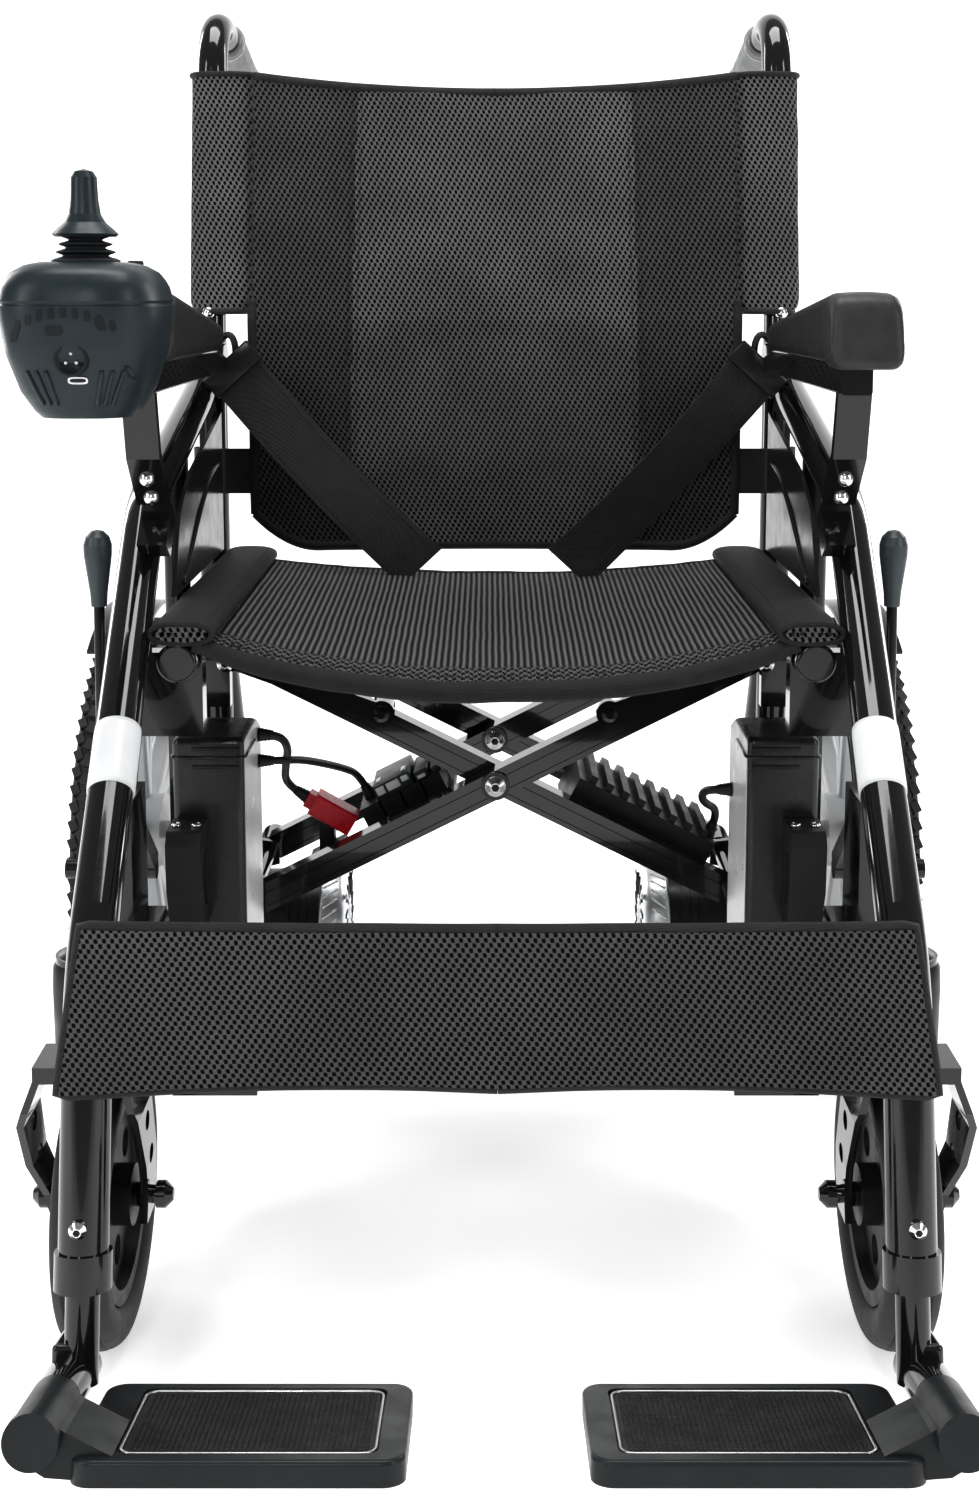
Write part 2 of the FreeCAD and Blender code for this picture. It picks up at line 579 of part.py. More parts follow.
# ---- armrest and joystick ----
def armrest():
    py, pz = ARMREST_PIVOT
    low, high = ARMREST_BAR
    bar = rounded_box(ARMREST_X - 10, BAR_FRONT, low, ARMREST_X + 10, py - 18, high, 2.5, REARWARD)
    ears = [prism([(410, low + 3), (410, high), (py, pz + 11), (py + 10, pz + 4), (py + 10, pz - 6),
                   (py, pz - 11)], "x", x, 4) for x in (ARMREST_X - 10, ARMREST_X + 6)]
    pin = rod((ARMREST_X - 10, py, pz), (ARMREST_X + 10, py, pz), 5.0)
    bracket = prism([(118, low + 1), (130, 590), (163, 556), (169, 562), (137, 594), (126, low + 1)],
                    "x", ARMREST_X - 11, 22)
    return fuse([bar, bracket, pin] + ears)


def armrest_pad(front):
    """Pad that rises toward the front; the right one's front end hangs past the bar."""
    base = ARMREST_BAR[1] + GAP
    lip = base - 3.4 if front < BAR_FRONT - 28 else base
    high, low = PAD_TOP
    pad = prism([(front, lip), (front - 4, lip + 14), (front + 2, high - 6), (front + 22, high),
                 (PAD_REAR, low), (PAD_REAR + 5, low - 6), (PAD_REAR, base + 0.6), (front + 24, base)],
                "x", ARMREST_X - PAD_HALF, 2 * PAD_HALF)
    return soften(pad, 7.0, lambda e: not runs_along(ACROSS)(e))


def joystick_housing():
    x, y = STICK[0], STICK[1]
    sections = ((624, 58, 66, 14), (650, 82, 94, 20), (688, 100, 112, 24), (704, 98, 110, 24),
                (STICK_TOP, 72, 84, 22))
    shell = Part.makeLoft([rounded_plan(w, d, c, (x, y, z)) for z, w, d, c in sections], True, True)
    cavity = rod((x, y, 686), (x, y, 720), 17.0)
    shell = shell.cut(cavity)
    button_wells = [rod((bx, by, 705), (bx, by, 730), 5.4) for bx, by in BUTTONS.values()]
    shell = shell.cut(fuse(button_wells))
    socket = rod((x + 4, y - 60, 660), (x + 4, y - 38, 660), 9.0)
    shell = shell.cut(socket)
    mount = fuse([box(-ARMREST_X - 6, y + 36, 636, -ARMREST_X + 6, BAR_FRONT - 3, 650),
                  box(-ARMREST_X - 10, BAR_FRONT - 5, 632.5, -ARMREST_X + 10, BAR_FRONT - GAP, 652)])
    return fuse([shell, mount])


def button(name):
    bx, by = BUTTONS[name]
    body = rod((bx, by, 708), (bx, by, 718.5), 5.0)
    return soften(body, 1.2, lambda e: e.BoundBox.ZMin > 718)


def joystick_gimbal():
    """Ring that tilts fore and aft; the knob's shaft tilts sideways inside it."""
    x, y, z = STICK
    ring = rod((x, y, z - 3), (x, y, z + 3), 12.0).cut(rod((x, y, z - 4), (x, y, z + 4), 7.5))
    trunnions = [rod((x + s * 11, y, z), (x + s * 16.2, y, z), 2.0) for s in (-1, 1)]
    return fuse([ring] + trunnions)


def joystick_knob():
    x, y, z = STICK
    ball = Part.makeSphere(6.0, V(x, y, z))
    shaft = rod((x, y, z), (x, y, 740), 3.5)
    knob = lathe([(736, 0), (732.5, 18.5), (734, 20), (737, 17), (741, 12.4), (746, 9.6), (754, 8.4),
                  (762, 8), (768, 7.8), (771.5, 5.6), (773, 0)], (x, y, 0), "z")
    return fuse([ball, shaft, knob])


def joystick_boot():
    """Three folds of rubber between the housing and the knob."""
    x, y = STICK[0], STICK[1]
    outline = [(STICK_TOP + GAP, 5), (STICK_TOP + GAP, 20)]
    folds = ((720, 17), (723, 18.5), (726, 14), (729, 15.5), (732, 11))
    outline += list(folds) + [(732, 5)]
    return lathe(outline, (x, y, 0), "z")


# ---- soft goods ----
def seat_sling():
    outline = [(226, 470), (226, 475), (198, 476), (110, 459), (0.3, 449), (0.3, 441),
               (110, 451), (197, 470)]
    return prism(outline, "y", SEAT_FRONT_Y - 6, SEAT_REAR_Y - SEAT_FRONT_Y + 2)


def back_sling():
    lean = math.tan(math.radians(10.0))
    face = CANE_Y - TUBE_R - 1.5
    top_y = face + (BACK_TOP_Z - BACK_BEND_Z) * lean
    upper = prism([(face, BACK_BEND_Z + 2), (top_y, BACK_TOP_Z), (top_y - 6, BACK_TOP_Z),
                   (face - 6, BACK_BEND_Z + 2)], "x", 0.3, 262)
    lower = prism([(face, BACK_LOW_Z), (face, BACK_BEND_Z + 2), (face - 6, BACK_BEND_Z + 2),
                   (face - 6, BACK_LOW_Z)], "x", 0.3, 216)
    return fuse([upper, lower])


def calf_strap():
    outline = []
    for z, forward in ((264, 15.2), (350, 15.2), (350, 20.2), (264, 20.2)):
        outline.append((leg_y(z) - forward, z))
    return prism(outline, "x", 0.3, 243)


def lap_belt():
    top = V(218, 0, 628)
    low = V(62, 0, 480)
    way = (low - top).normalize()
    across = V(-way.z, 0, way.x) * 19
    corners = [top + across, low + across, low - across, top - across]
    return prism([(c.x, c.z) for c in corners], "y", 452, 2.5)


def push_grip():
    bend, end = V(*GRIP_BEND), V(*GRIP_END)
    way = (end - bend).normalize()
    start = bend + way * 72
    finish = end + way * 6
    grip = Part.makeCylinder(17.0, (finish - start).Length, start, way)
    grip = soften(grip, 4.0)
    return grip.cut(Part.makeCylinder(TUBE_R + 0.05, (end - start).Length + 0.2, start, way))


# ---- electrics between the brace bars ----
def along_arm(distance, height, side):
    """A point above the lower half of a brace arm; side -1 is the arm that starts at -X."""
    slope = math.atan(BRACE_RISE)
    x = -PIVOT_X + distance * math.cos(slope) - height * math.sin(slope)
    z = pivot_z() + distance * math.sin(slope) + height * math.cos(slope)
    return (-side * x, z)


def arm_box(d0, h0, d1, h1, y0, y1, side):
    corners = [along_arm(d, h, side) for d, h in ((d0, h0), (d1, h0), (d1, h1), (d0, h1))]
    return prism(corners, "y", y0, y1 - y0)


def motor_controller():
    """Finned housing between the front and rear bars of the arm that starts at +X."""
    case = arm_box(30, -8, 150, 24, 332, 416, 1)
    fins = [arm_box(38 + 14 * i, 24, 44 + 14 * i, 30, 334, 414, 1) for i in range(8)]
    feet = [arm_box(60, -6, 76, 4, 323.5, 333, 1), arm_box(110, -6, 126, 4, 323.5, 333, 1),
            arm_box(60, -6, 76, 4, 415, 426.5, 1), arm_box(110, -6, 126, 4, 415, 426.5, 1)]
    return fuse([case] + fins + feet)


def power_connector():
    """Two-pole battery plug whose tail points up and outward."""
    body = rounded_box(-16, 331, -9, 20, 353, 9, 2.0, ACROSS)
    tail = box(-22, 335, -6, -16, 349, 6)
    plug = fuse([body, tail])
    plug.rotate(V(0, 0, 0), REARWARD, PLUG_SLOPE)
    plug.translate(V(PLUG_AT[0], 0, PLUG_AT[1]))
    return plug


def lead_connectors():
    """Row of plug housings on a plate, and the power plug's stand, on the arm that starts at -X."""
    plate = arm_box(101, -4, 176, 0, 305, 426.5, -1)
    plugs = [arm_box(102 + 18 * i, 0, 118 + 18 * i, 18, 334, 380, -1) for i in range(4)]
    foot = arm_box(50, -4, 80, 2, 305, 353, -1)
    stand = box(PLUG_AT[0] - 9, 334, 256, PLUG_AT[0] + 3, 350, PLUG_AT[1])
    return [fuse([plate] + plugs), fuse([foot, stand]).cut(power_connector())]


def leads():
    """Battery leads, held at the battery's inner face and in the plugs."""
    def on_arm(distance, height, y, side):
        x, z = along_arm(distance, height, side)
        return (x, y, z)

    exit_x = BATTERY[0] - 0.4
    slope = math.radians(PLUG_SLOPE)

    def behind_plug(distance):
        return (PLUG_AT[0] - distance * math.cos(slope), 342, PLUG_AT[1] + distance * math.sin(slope))

    red = [(-exit_x, 262, 372), (-exit_x + 15, 262, 372), (-157, 288, 356), (-163, 316, 334),
           behind_plug(42), behind_plug(22)]
    plugs = [(-exit_x, 262, 352), (-exit_x + 15, 262, 352), (-148, 288, 346), (-134, 318, 335),
             (-120, 344, 324), on_arm(110, 38, 362, -1), on_arm(110, 18, 362, -1)]
    right = [(exit_x, 262, 330), (exit_x - 15, 262, 330), (158, 290, 320), (162, 322, 303),
             on_arm(34, 46, 352, 1), on_arm(34, 24, 352, 1)]
    return [lead_tube(red, 3.2), lead_tube(plugs, 3.0), lead_tube(right, 3.2)]


# ---- fasteners ----
def frame_bolts():
    """Chrome heads that show on one side frame."""
    lean = math.radians(LEG_LEAN)
    leg_screw = bolt_y(LEG_X, leg_y(190) - LEG_R / math.cos(lean) + 0.6, 190, 5.0)
    cane_screw = bolt_y(CANE_X, CANE_Y - TUBE_R - 0.1, 662, 5.5)
    link_head = bolt_y(LINK_X, 261.6, LINK_Z, 6.0)
    brake_heads = [bolt_y(292, 225.6, z, 5.0) for z in (240, 296)]
    return [leg_screw.cut(sweep(MAIN_TUBE, MAIN_BENDS, LEG_R)), cane_screw, link_head] + brake_heads


os.makedirs("parts", exist_ok=True)

save_pair("side_frame", side_frame())
save_pair("frame_bolts", frame_bolts())
save_pair("push_grip", push_grip())
save_pair("battery_case", battery())
save_pair("battery_handle", battery_handle())
save_pair("drive_motor", drive_motor())
save_pair("side_guard", side_guard())
save_pair("brake_lever", brake_lever())
rear_tyre, rear_rim = rear_wheel()
save_pair("rear_tyre", rear_tyre)
save_pair("rear_rim", rear_rim)
caster_tyre, caster_hub = caster()
save_pair("caster_fork", caster_fork())
save_pair("caster_tyre", caster_tyre)
save_pair("caster_hub", caster_hub)
save_pair("footrest_tube", footrest_tube())
save_pair("footplate", footplate())
save_pair("seat_rail", seat_rail())
save_pair("fold_link", fold_link())
save_pair("seat_sling", seat_sling())
save_pair("back_sling", back_sling())
save_pair("calf_strap", calf_strap())
belt = lap_belt()
save("lap_belt", [belt, belt.mirror(V(0, 0, 0), ACROSS)])

for side, front in PAD_FRONT.items():
    pieces = {"armrest_frame": armrest(), "armrest_pad": armrest_pad(front)}
    for name, piece in pieces.items():
        if side == "left":
            piece = piece.mirror(V(0, 0, 0), ACROSS)
        save(side + "_" + name, piece)

save("cross_brace_a", brace(False))
save("cross_brace_b", brace(True))
save("brace_centre_bolts", centre_bolts())
save("joystick_housing", joystick_housing())
save("joystick_gimbal", joystick_gimbal())
save("joystick_knob", joystick_knob())
save("joystick_boot", joystick_boot())
for button_name in BUTTONS:
    save(button_name, button(button_name))
save("motor_controller", motor_controller())
save("lead_connectors", lead_connectors())
save("power_connector", power_connector())
save("battery_leads", leads())
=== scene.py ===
import json
import math

import bmesh
import bpy
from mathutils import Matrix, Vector, noise


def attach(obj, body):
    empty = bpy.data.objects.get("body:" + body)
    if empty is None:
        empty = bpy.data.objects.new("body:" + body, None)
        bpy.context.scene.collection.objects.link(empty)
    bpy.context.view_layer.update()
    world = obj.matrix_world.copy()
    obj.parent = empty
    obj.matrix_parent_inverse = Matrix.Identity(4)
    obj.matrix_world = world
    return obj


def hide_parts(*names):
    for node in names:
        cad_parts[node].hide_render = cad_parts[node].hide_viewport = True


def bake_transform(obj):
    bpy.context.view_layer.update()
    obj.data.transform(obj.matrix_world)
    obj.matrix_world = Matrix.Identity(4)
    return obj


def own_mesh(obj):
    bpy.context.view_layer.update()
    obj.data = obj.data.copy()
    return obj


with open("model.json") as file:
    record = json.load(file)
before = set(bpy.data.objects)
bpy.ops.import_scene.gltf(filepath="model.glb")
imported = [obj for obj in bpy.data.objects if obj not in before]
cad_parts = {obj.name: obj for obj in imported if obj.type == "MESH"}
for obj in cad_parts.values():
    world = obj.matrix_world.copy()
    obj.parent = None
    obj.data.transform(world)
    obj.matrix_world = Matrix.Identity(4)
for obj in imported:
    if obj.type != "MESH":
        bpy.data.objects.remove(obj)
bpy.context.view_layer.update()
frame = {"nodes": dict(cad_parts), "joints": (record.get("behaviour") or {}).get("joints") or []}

SIDES = {"left": -1, "right": 1}
JOINTS = {joint["name"]: joint for joint in frame["joints"]}

# Points are given in millimetres. Depth is counted to the rear from a plane
# 585 mm in front of the rear axle, height from the floor.
AXLE_DEPTH = 585.0
depth_origin = JOINTS["left_wheel_spin"]["pos_m"][1] * 1000 - AXLE_DEPTH

WHEEL_X, WHEEL_R = 329.0, 200.0
CASTER_X, CASTER_DEPTH, CASTER_R = 262.0, 96.0, 97.0
STEM_DEPTH = 56.0          # caster swivel
FRAME_X = 248.0            # main tube
LEG_X, LEG_R = 230.0, 14.0
LEG_LEAN = math.radians(12.0)
CANE_X, CANE_DEPTH = 240.0, 485.0
CROSS_Z = 326.0            # centre pivot of the cross brace
BRACE_RISE = 0.503         # rise of a brace arm over its run
LEVER_KNOB_Z = 468.0       # the brake lever is rod below this height and knob above it
SEAT_FRONT, SEAT_REAR = 119.0, 474.0
BATTERY_X = (177.0, 228.0)
BATTERY_FRONT = 187.0
ARMREST_X = 232.0
STICK_X, STICK_DEPTH = -250.0, 60.0


def at(x, y, z):
    """A point of the frame, in metres."""
    return Vector((x, y + depth_origin, z)) / 1000


# ---- node materials ----
class Nodes:
    """A small builder for one procedural material."""

    def __init__(self, name):
        self.material = bpy.data.materials.new(name)
        self.material.use_nodes = True
        self.tree = self.material.node_tree
        self.shader = self.tree.nodes["Principled BSDF"]
        self.place = self.add("ShaderNodeTexCoord").outputs["Object"]

    def add(self, kind, **settings):
        node = self.tree.nodes.new(kind)
        for key, value in settings.items():
            setattr(node, key, value)
        return node

    def link(self, source, target):
        self.tree.links.new(source, target)

    def feed(self, socket, value):
        if isinstance(value, bpy.types.NodeSocket):
            self.link(value, socket)
        else:
            socket.default_value = value

    def math(self, operation, a, b=0.0):
        node = self.add("ShaderNodeMath", operation=operation)
        self.feed(node.inputs[0], a)
        self.feed(node.inputs[1], b)
        return node.outputs[0]

    def noise(self, size_mm, detail=3.0, rough=0.5):
        node = self.add("ShaderNodeTexNoise")
        self.link(self.place, node.inputs["Vector"])
        node.inputs["Scale"].default_value = 1000.0 / size_mm
        node.inputs["Detail"].default_value = detail
        node.inputs["Roughness"].default_value = rough
        return node.outputs["Fac"]

    def axis(self, letter):
        node = self.add("ShaderNodeSeparateXYZ")
        self.link(self.place, node.inputs[0])
        return node.outputs[letter]

    def wave(self, source, pitch_mm):
        """Cosine of a coordinate, one turn every pitch."""
        return self.math("COSINE", self.math("MULTIPLY", source, 2000.0 * math.pi / pitch_mm))

    def span(self, value, low, high, out_low=0.0, out_high=1.0):
        node = self.add("ShaderNodeMapRange")
        self.link(value, node.inputs["Value"])
        for key, number in zip(("From Min", "From Max", "To Min", "To Max"),
                               (low, high, out_low, out_high)):
            node.inputs[key].default_value = number
        return node.outputs["Result"]

    def patches(self, size_mm, detail, low=0.0, high=1.0, rough=0.5):
        """Soft patches of noise between two values."""
        return self.span(self.noise(size_mm, detail, rough), 0.3, 0.7, low, high)

    def colours(self, factor, first, second):
        node = self.add("ShaderNodeMix", data_type="RGBA")
        self.feed(node.inputs["Factor"], factor)
        self.feed(node.inputs[6], first if isinstance(first, bpy.types.NodeSocket) else (*first, 1))
        self.feed(node.inputs[7], second if isinstance(second, bpy.types.NodeSocket) else (*second, 1))
        return node.outputs[2]

    def bump(self, height, depth_mm, strength=1.0):
        node = self.add("ShaderNodeBump")
        node.inputs["Strength"].default_value = strength
        node.inputs["Distance"].default_value = depth_mm / 1000
        self.link(height, node.inputs["Height"])
        self.link(node.outputs["Normal"], self.shader.inputs["Normal"])

    def finish(self, colour, roughness, metallic=0.0, **more):
        if isinstance(colour, bpy.types.NodeSocket):
            self.link(colour, self.shader.inputs["Base Color"])
        else:
            self.shader.inputs["Base Color"].default_value = (*colour, 1)
        self.feed(self.shader.inputs["Roughness"], roughness)
        self.shader.inputs["Metallic"].default_value = metallic
        for key, value in more.items():
            self.shader.inputs[key.replace("_", " ")].default_value = value
        return self.material


def gloss_paint():
    """Powder coat with a clear gloss, slow changes of roughness and faint orange peel."""
    n = Nodes("gloss_paint")
    rough = n.span(n.noise(60, 6, 0.7), 0.35, 0.75, 0.07, 0.17)
    tone = n.colours(n.noise(25), (0.004, 0.004, 0.0045), (0.009, 0.009, 0.010))
    n.bump(n.noise(2.2, 2), 0.02, 0.35)
    return n.finish(tone, rough, Specular_IOR_Level=0.35, Coat_Weight=0.5, Coat_Roughness=0.03)


def satin_metal(name, dark, light, rough=(0.25, 0.42), grain=1.2):
    n = Nodes(name)
    tone = n.colours(n.noise(9, 5, 0.65), dark, light)
    n.bump(n.noise(grain, 3), 0.03, 0.5)
    return n.finish(tone, n.patches(14, 4, *rough), 1.0)


def chrome():
    n = Nodes("chrome")
    n.bump(n.noise(1.1, 4), 0.01, 0.3)
    tone = n.colours(n.noise(4), (0.62, 0.62, 0.64), (0.86, 0.86, 0.87))
    return n.finish(tone, n.patches(3, 5, 0.08, 0.24), 1.0)


def plastic(name, dark, light, rough=(0.35, 0.5), grain=0.7, depth=0.05):
    """Moulded plastic: spark-eroded grain over slow changes of tone and gloss."""
    n = Nodes(name)
    tone = n.colours(n.noise(30, 4), dark, light)
    n.bump(n.noise(grain, 2), depth, 0.6)
    return n.finish(tone, n.patches(18, 5, *rough), Specular_IOR_Level=0.3)


def rubber(name, dark, light, rough=(0.55, 0.75), grain=0.9, depth=0.06):
    n = Nodes(name)
    tone = n.colours(n.patches(22, 6, rough=0.7), dark, light)
    n.bump(n.noise(grain, 4), depth, 0.7)
    return n.finish(tone, n.patches(8, 4, *rough), Specular_IOR_Level=0.35)


def spacer_mesh(name, thread, across="X", along="Z", pitch=(4.6, 7.0)):
    """Knitted spacer mesh: staggered rows of slanted oval holes, painted near black for the dark backing and
    the painted shade inside them.
    """
    n = Nodes(name)
    wobble = n.math("MULTIPLY", n.math("SUBTRACT", n.noise(7, 2), 0.5), 0.0010)
    side = n.math("ADD", n.axis(across), n.math("MULTIPLY", n.axis(along), 0.22))
    side = n.math("ADD", side, wobble)
    up = n.math("ADD", n.axis(along), wobble)
    weave = n.math("MULTIPLY", n.wave(side, pitch[0]), n.wave(up, pitch[1]))
    hole = n.span(weave, -0.02, 0.26)
    strand = n.wave(n.math("ADD", side, n.math("MULTIPLY", up, 0.8)), 0.9)
    light = tuple(c * 1.7 for c in thread)
    fuzz = n.colours(n.span(strand, -1, 1), thread, light)
    # Near-black holes: dark backing, deepened by painted shade in the holes.
    tone = n.colours(hole, fuzz, (0.001, 0.001, 0.001))
    slow = n.colours(n.patches(70, 3), (0.72, 0.72, 0.73), (1, 1, 1))
    shaded = n.add("ShaderNodeMix", data_type="RGBA", blend_type="MULTIPLY")
    shaded.inputs["Factor"].default_value = 1.0
    n.link(tone, shaded.inputs[6])
    n.link(slow, shaded.inputs[7])
    height = n.math("ADD", n.math("MULTIPLY", hole, -1.0), n.math("MULTIPLY", strand, 0.10))
    n.bump(height, 0.9, 0.9)
    return n.finish(shaded.outputs[2], 0.8, Specular_IOR_Level=0.1, Sheen_Weight=0.02)


RIB_PITCH = 4.4            # fore-and-aft ribs of the seat cloth
MESH_DEPTH = 152.0         # the cloth is open mesh in front of this depth


def seat_cloth():
    """Ribbed knit that runs fore and aft, and opens to a mesh along the front hem; painted light on the rib
    crests, painted shade in the grooves and in the mesh holes.
    """
    n = Nodes("seat_cloth")
    wobble = n.math("MULTIPLY", n.math("SUBTRACT", n.noise(30, 2), 0.5), 0.0012)
    side = n.math("ADD", n.axis("X"), wobble)
    rib = n.wave(side, RIB_PITCH)
    knit = n.wave(n.axis("Y"), 1.7)
    hole = n.span(n.math("MULTIPLY", n.wave(side, 5.6), n.wave(n.axis("Y"), 11.0)), -0.05, 0.2)
    front = n.span(n.axis("Y"), at(0, MESH_DEPTH, 0).y, at(0, MESH_DEPTH + 10, 0).y, 1, 0)
    # Rib crests painted light and grooves painted dark: painted light and shade in step with the bump.
    rib_light_and_shade = n.colours(n.math("ADD", n.span(rib, -0.8, 0.9), n.math("MULTIPLY", knit, 0.12)),
                      (0.004, 0.004, 0.004), (0.150, 0.150, 0.152))
    # Holes of the front mesh painted near black, painted shade inside them.
    open_mesh = n.colours(hole, (0.120, 0.120, 0.122), (0.001, 0.001, 0.001))
    height = n.math("ADD", n.math("MULTIPLY", rib, 0.6), n.math("MULTIPLY", knit, 0.12))
    height = n.math("SUBTRACT", height, n.math("MULTIPLY", hole, n.math("MULTIPLY", front, 1.6)))
    n.bump(height, 0.7, 0.9)
    return n.finish(n.colours(front, rib_light_and_shade, open_mesh), 0.75, Specular_IOR_Level=0.1, Sheen_Weight=0.02)


def woven(name, dark, light, across="X", along="Z", pitch=1.1, rough=0.62, sheen=0.05):
    """Plain or ribbed tape weave."""
    n = Nodes(name)
    weave = n.math("MULTIPLY", n.wave(n.axis(across), pitch), n.wave(n.axis(along), pitch * 0.8))
    weave = n.math("ADD", weave, n.wave(n.axis("Y"), pitch))
    mottled = n.math("ADD", n.span(weave, -2, 2, 0, 0.7), n.patches(16, 5, 0, 0.5))
    n.bump(weave, 0.16, 0.6)
    return n.finish(n.colours(mottled, dark, light), rough, Specular_IOR_Level=0.2,
                    Sheen_Weight=sheen * 0.5, Sheen_Roughness=0.4)


def battery_case_and_reflection():
    """Grained case; its faces that turn inward are painted pale, a painted reflection of the bright
    surroundings at a grazing angle.
    """
    n = Nodes("battery_case_and_reflection")
    normal = n.add("ShaderNodeNewGeometry").outputs["Normal"]
    split = n.add("ShaderNodeSeparateXYZ")
    n.link(normal, split.inputs[0])
    place_x = n.axis("X")
    inward = n.math("MULTIPLY", split.outputs["X"], n.math("MULTIPLY", n.math("SIGN", place_x), -1.0))
    # Mask of the inward faces, which carry the painted reflection.
    plate = n.span(inward, 0.9, 0.95)
    reflection_noise = n.noise(3, 6, 0.7)
    reflection_tone = n.colours(reflection_noise, (0.50, 0.51, 0.52), (0.72, 0.73, 0.74))
    dark = n.colours(n.noise(30, 4), (0.006, 0.006, 0.0065), (0.014, 0.014, 0.015))
    n.bump(n.noise(0.8, 2), 0.05, 0.5)
    rough = n.math("ADD", n.patches(20, 4, 0.22, 0.36), n.math("MULTIPLY", plate, 0.05))
    return n.finish(n.colours(plate, dark, reflection_tone), rough)


def washer_and_head():
    """Black washer under a bright bolt head, told apart by the distance from the bolt's axis."""
    n = Nodes("washer_and_head")
    rise = n.math("SUBTRACT", n.axis("Z"), at(0, 0, CROSS_Z).z)
    spread = n.math("ADD", n.math("POWER", n.axis("X"), 2.0), n.math("POWER", rise, 2.0))
    head_radius = 0.0078
    washer = n.span(n.math("SQRT", spread), head_radius, head_radius + 0.0002)
    steel = n.colours(n.noise(4), (0.42, 0.42, 0.43), (0.62, 0.62, 0.63))
    tone = n.colours(washer, steel, (0.006, 0.006, 0.006))
    n.bump(n.noise(1.1, 4), 0.01, 0.3)
    rough = n.patches(3, 5, 0.2, 0.34)
    made = n.finish(tone, rough)
    n.link(n.math("SUBTRACT", 1.0, washer), n.shader.inputs["Metallic"])
    return made


def lever_finish():
    """Painted rod with a grey-green moulded knob above it."""
    n = Nodes("lever_finish")
    knob = n.span(n.axis("Z"), at(0, 0, LEVER_KNOB_Z - 0.6).z, at(0, 0, LEVER_KNOB_Z).z)
    tone = n.colours(n.noise(20, 4), (0.030, 0.042, 0.046), (0.046, 0.060, 0.065))
    n.bump(n.noise(0.7, 2), 0.05, 0.5)
    rough = n.span(knob, 0, 1, 0.16, 0.42)
    return n.finish(n.colours(knob, (0.006, 0.006, 0.006), tone), rough)


def tread_rubber():
    """Tyre rubber with patches of dust over it."""
    n = Nodes("tread_rubber")
    dust = n.span(n.noise(12, 6, 0.75), 0.42, 0.72)
    tone = n.colours(dust, (0.010, 0.010, 0.0105), (0.030, 0.030, 0.029))
    n.bump(n.noise(1.4, 5), 0.12, 0.7)
    return n.finish(tone, n.span(dust, 0, 1, 0.55, 0.82))


MATERIALS = {
    "paint": gloss_paint(),
    "chrome": chrome(),
    "zinc": satin_metal("zinc", (0.45, 0.45, 0.46), (0.68, 0.68, 0.69)),
    "cast": satin_metal("cast_aluminium", (0.50, 0.51, 0.52), (0.76, 0.77, 0.78), (0.28, 0.45), 2.0),
    "motor": plastic("motor_paint", (0.006, 0.006, 0.007), (0.014, 0.014, 0.015), (0.25, 0.4)),
    "rim": plastic("rim_grey", (0.42, 0.43, 0.44), (0.56, 0.57, 0.58), (0.32, 0.45), 1.5),
    "black_plastic": plastic("black_plastic", (0.007, 0.007, 0.0075), (0.015, 0.015, 0.016)),
    "gloss_plastic": plastic("gloss_plastic", (0.012, 0.012, 0.013), (0.024, 0.024, 0.026),
                             (0.14, 0.24), 6.0, 0.03),
    "slate": plastic("slate_plastic", (0.012, 0.020, 0.024), (0.022, 0.033, 0.039), (0.30, 0.42)),
    "slate_dark": plastic("slate_dark", (0.004, 0.006, 0.008), (0.008, 0.011, 0.014), (0.4, 0.55)),
    "plate": plastic("footplate_plastic", (0.010, 0.011, 0.012), (0.022, 0.024, 0.026), (0.3, 0.46), 0.9),
    "mat": rubber("mat_rubber", (0.010, 0.010, 0.011), (0.024, 0.025, 0.026), (0.5, 0.7)),
    "grip": rubber("grip_rubber", (0.16, 0.163, 0.168), (0.27, 0.275, 0.28), (0.14, 0.26), 2.6, 0.05),
    "pad": rubber("armrest_skin", (0.022, 0.022, 0.0225), (0.036, 0.036, 0.037), (0.40, 0.55), 1.2, 0.12),
    "tread": tread_rubber(),
    "boot": rubber("boot_rubber", (0.012, 0.015, 0.018), (0.024, 0.029, 0.033), (0.5, 0.66)),
    "battery": battery_case_and_reflection(),
    "seat_cloth": seat_cloth(),
    "washer_and_head": washer_and_head(),
    "lever": lever_finish(),
    "back_mesh": spacer_mesh("back_mesh", (0.125, 0.125, 0.127), pitch=(4.8, 6.8)),
    "back_side_mesh": spacer_mesh("back_side_mesh", (0.070, 0.070, 0.072), pitch=(4.8, 6.8)),
    "strap_mesh": spacer_mesh("strap_mesh", (0.085, 0.085, 0.087), "X", "Z", (4.6, 5.2)),
    "tape": woven("binding_tape", (0.014, 0.014, 0.0145), (0.032, 0.032, 0.033)),
    "sleeve": woven("sleeve_cloth", (0.014, 0.014, 0.0145), (0.028, 0.028, 0.029), "X", "Y", 0.9),
    "webbing": woven("belt_webbing", (0.024, 0.024, 0.0245), (0.038, 0.038, 0.039), "X", "Z", 0.7, 0.6, 0.08),
    "thread": woven("stitch_thread", (0.020, 0.020, 0.021), (0.045, 0.045, 0.046), "X", "Z", 0.5),
    "lead": rubber("lead_jacket", (0.008, 0.008, 0.0085), (0.018, 0.018, 0.019), (0.38, 0.55), 1.0, 0.04),
    "red": plastic("red_plastic", (0.42, 0.006, 0.016), (0.60, 0.012, 0.028), (0.22, 0.34), 1.5, 0.04),
    # White of the sleeve on the main tube, a painted reflection.
    "white": plastic("painted_reflection_white", (0.74, 0.75, 0.76), (0.86, 0.87, 0.88), (0.3, 0.42), 2.5, 0.03),
    "clear_white": plastic("natural_nylon", (0.60, 0.60, 0.57), (0.76, 0.76, 0.73), (0.4, 0.55)),
}

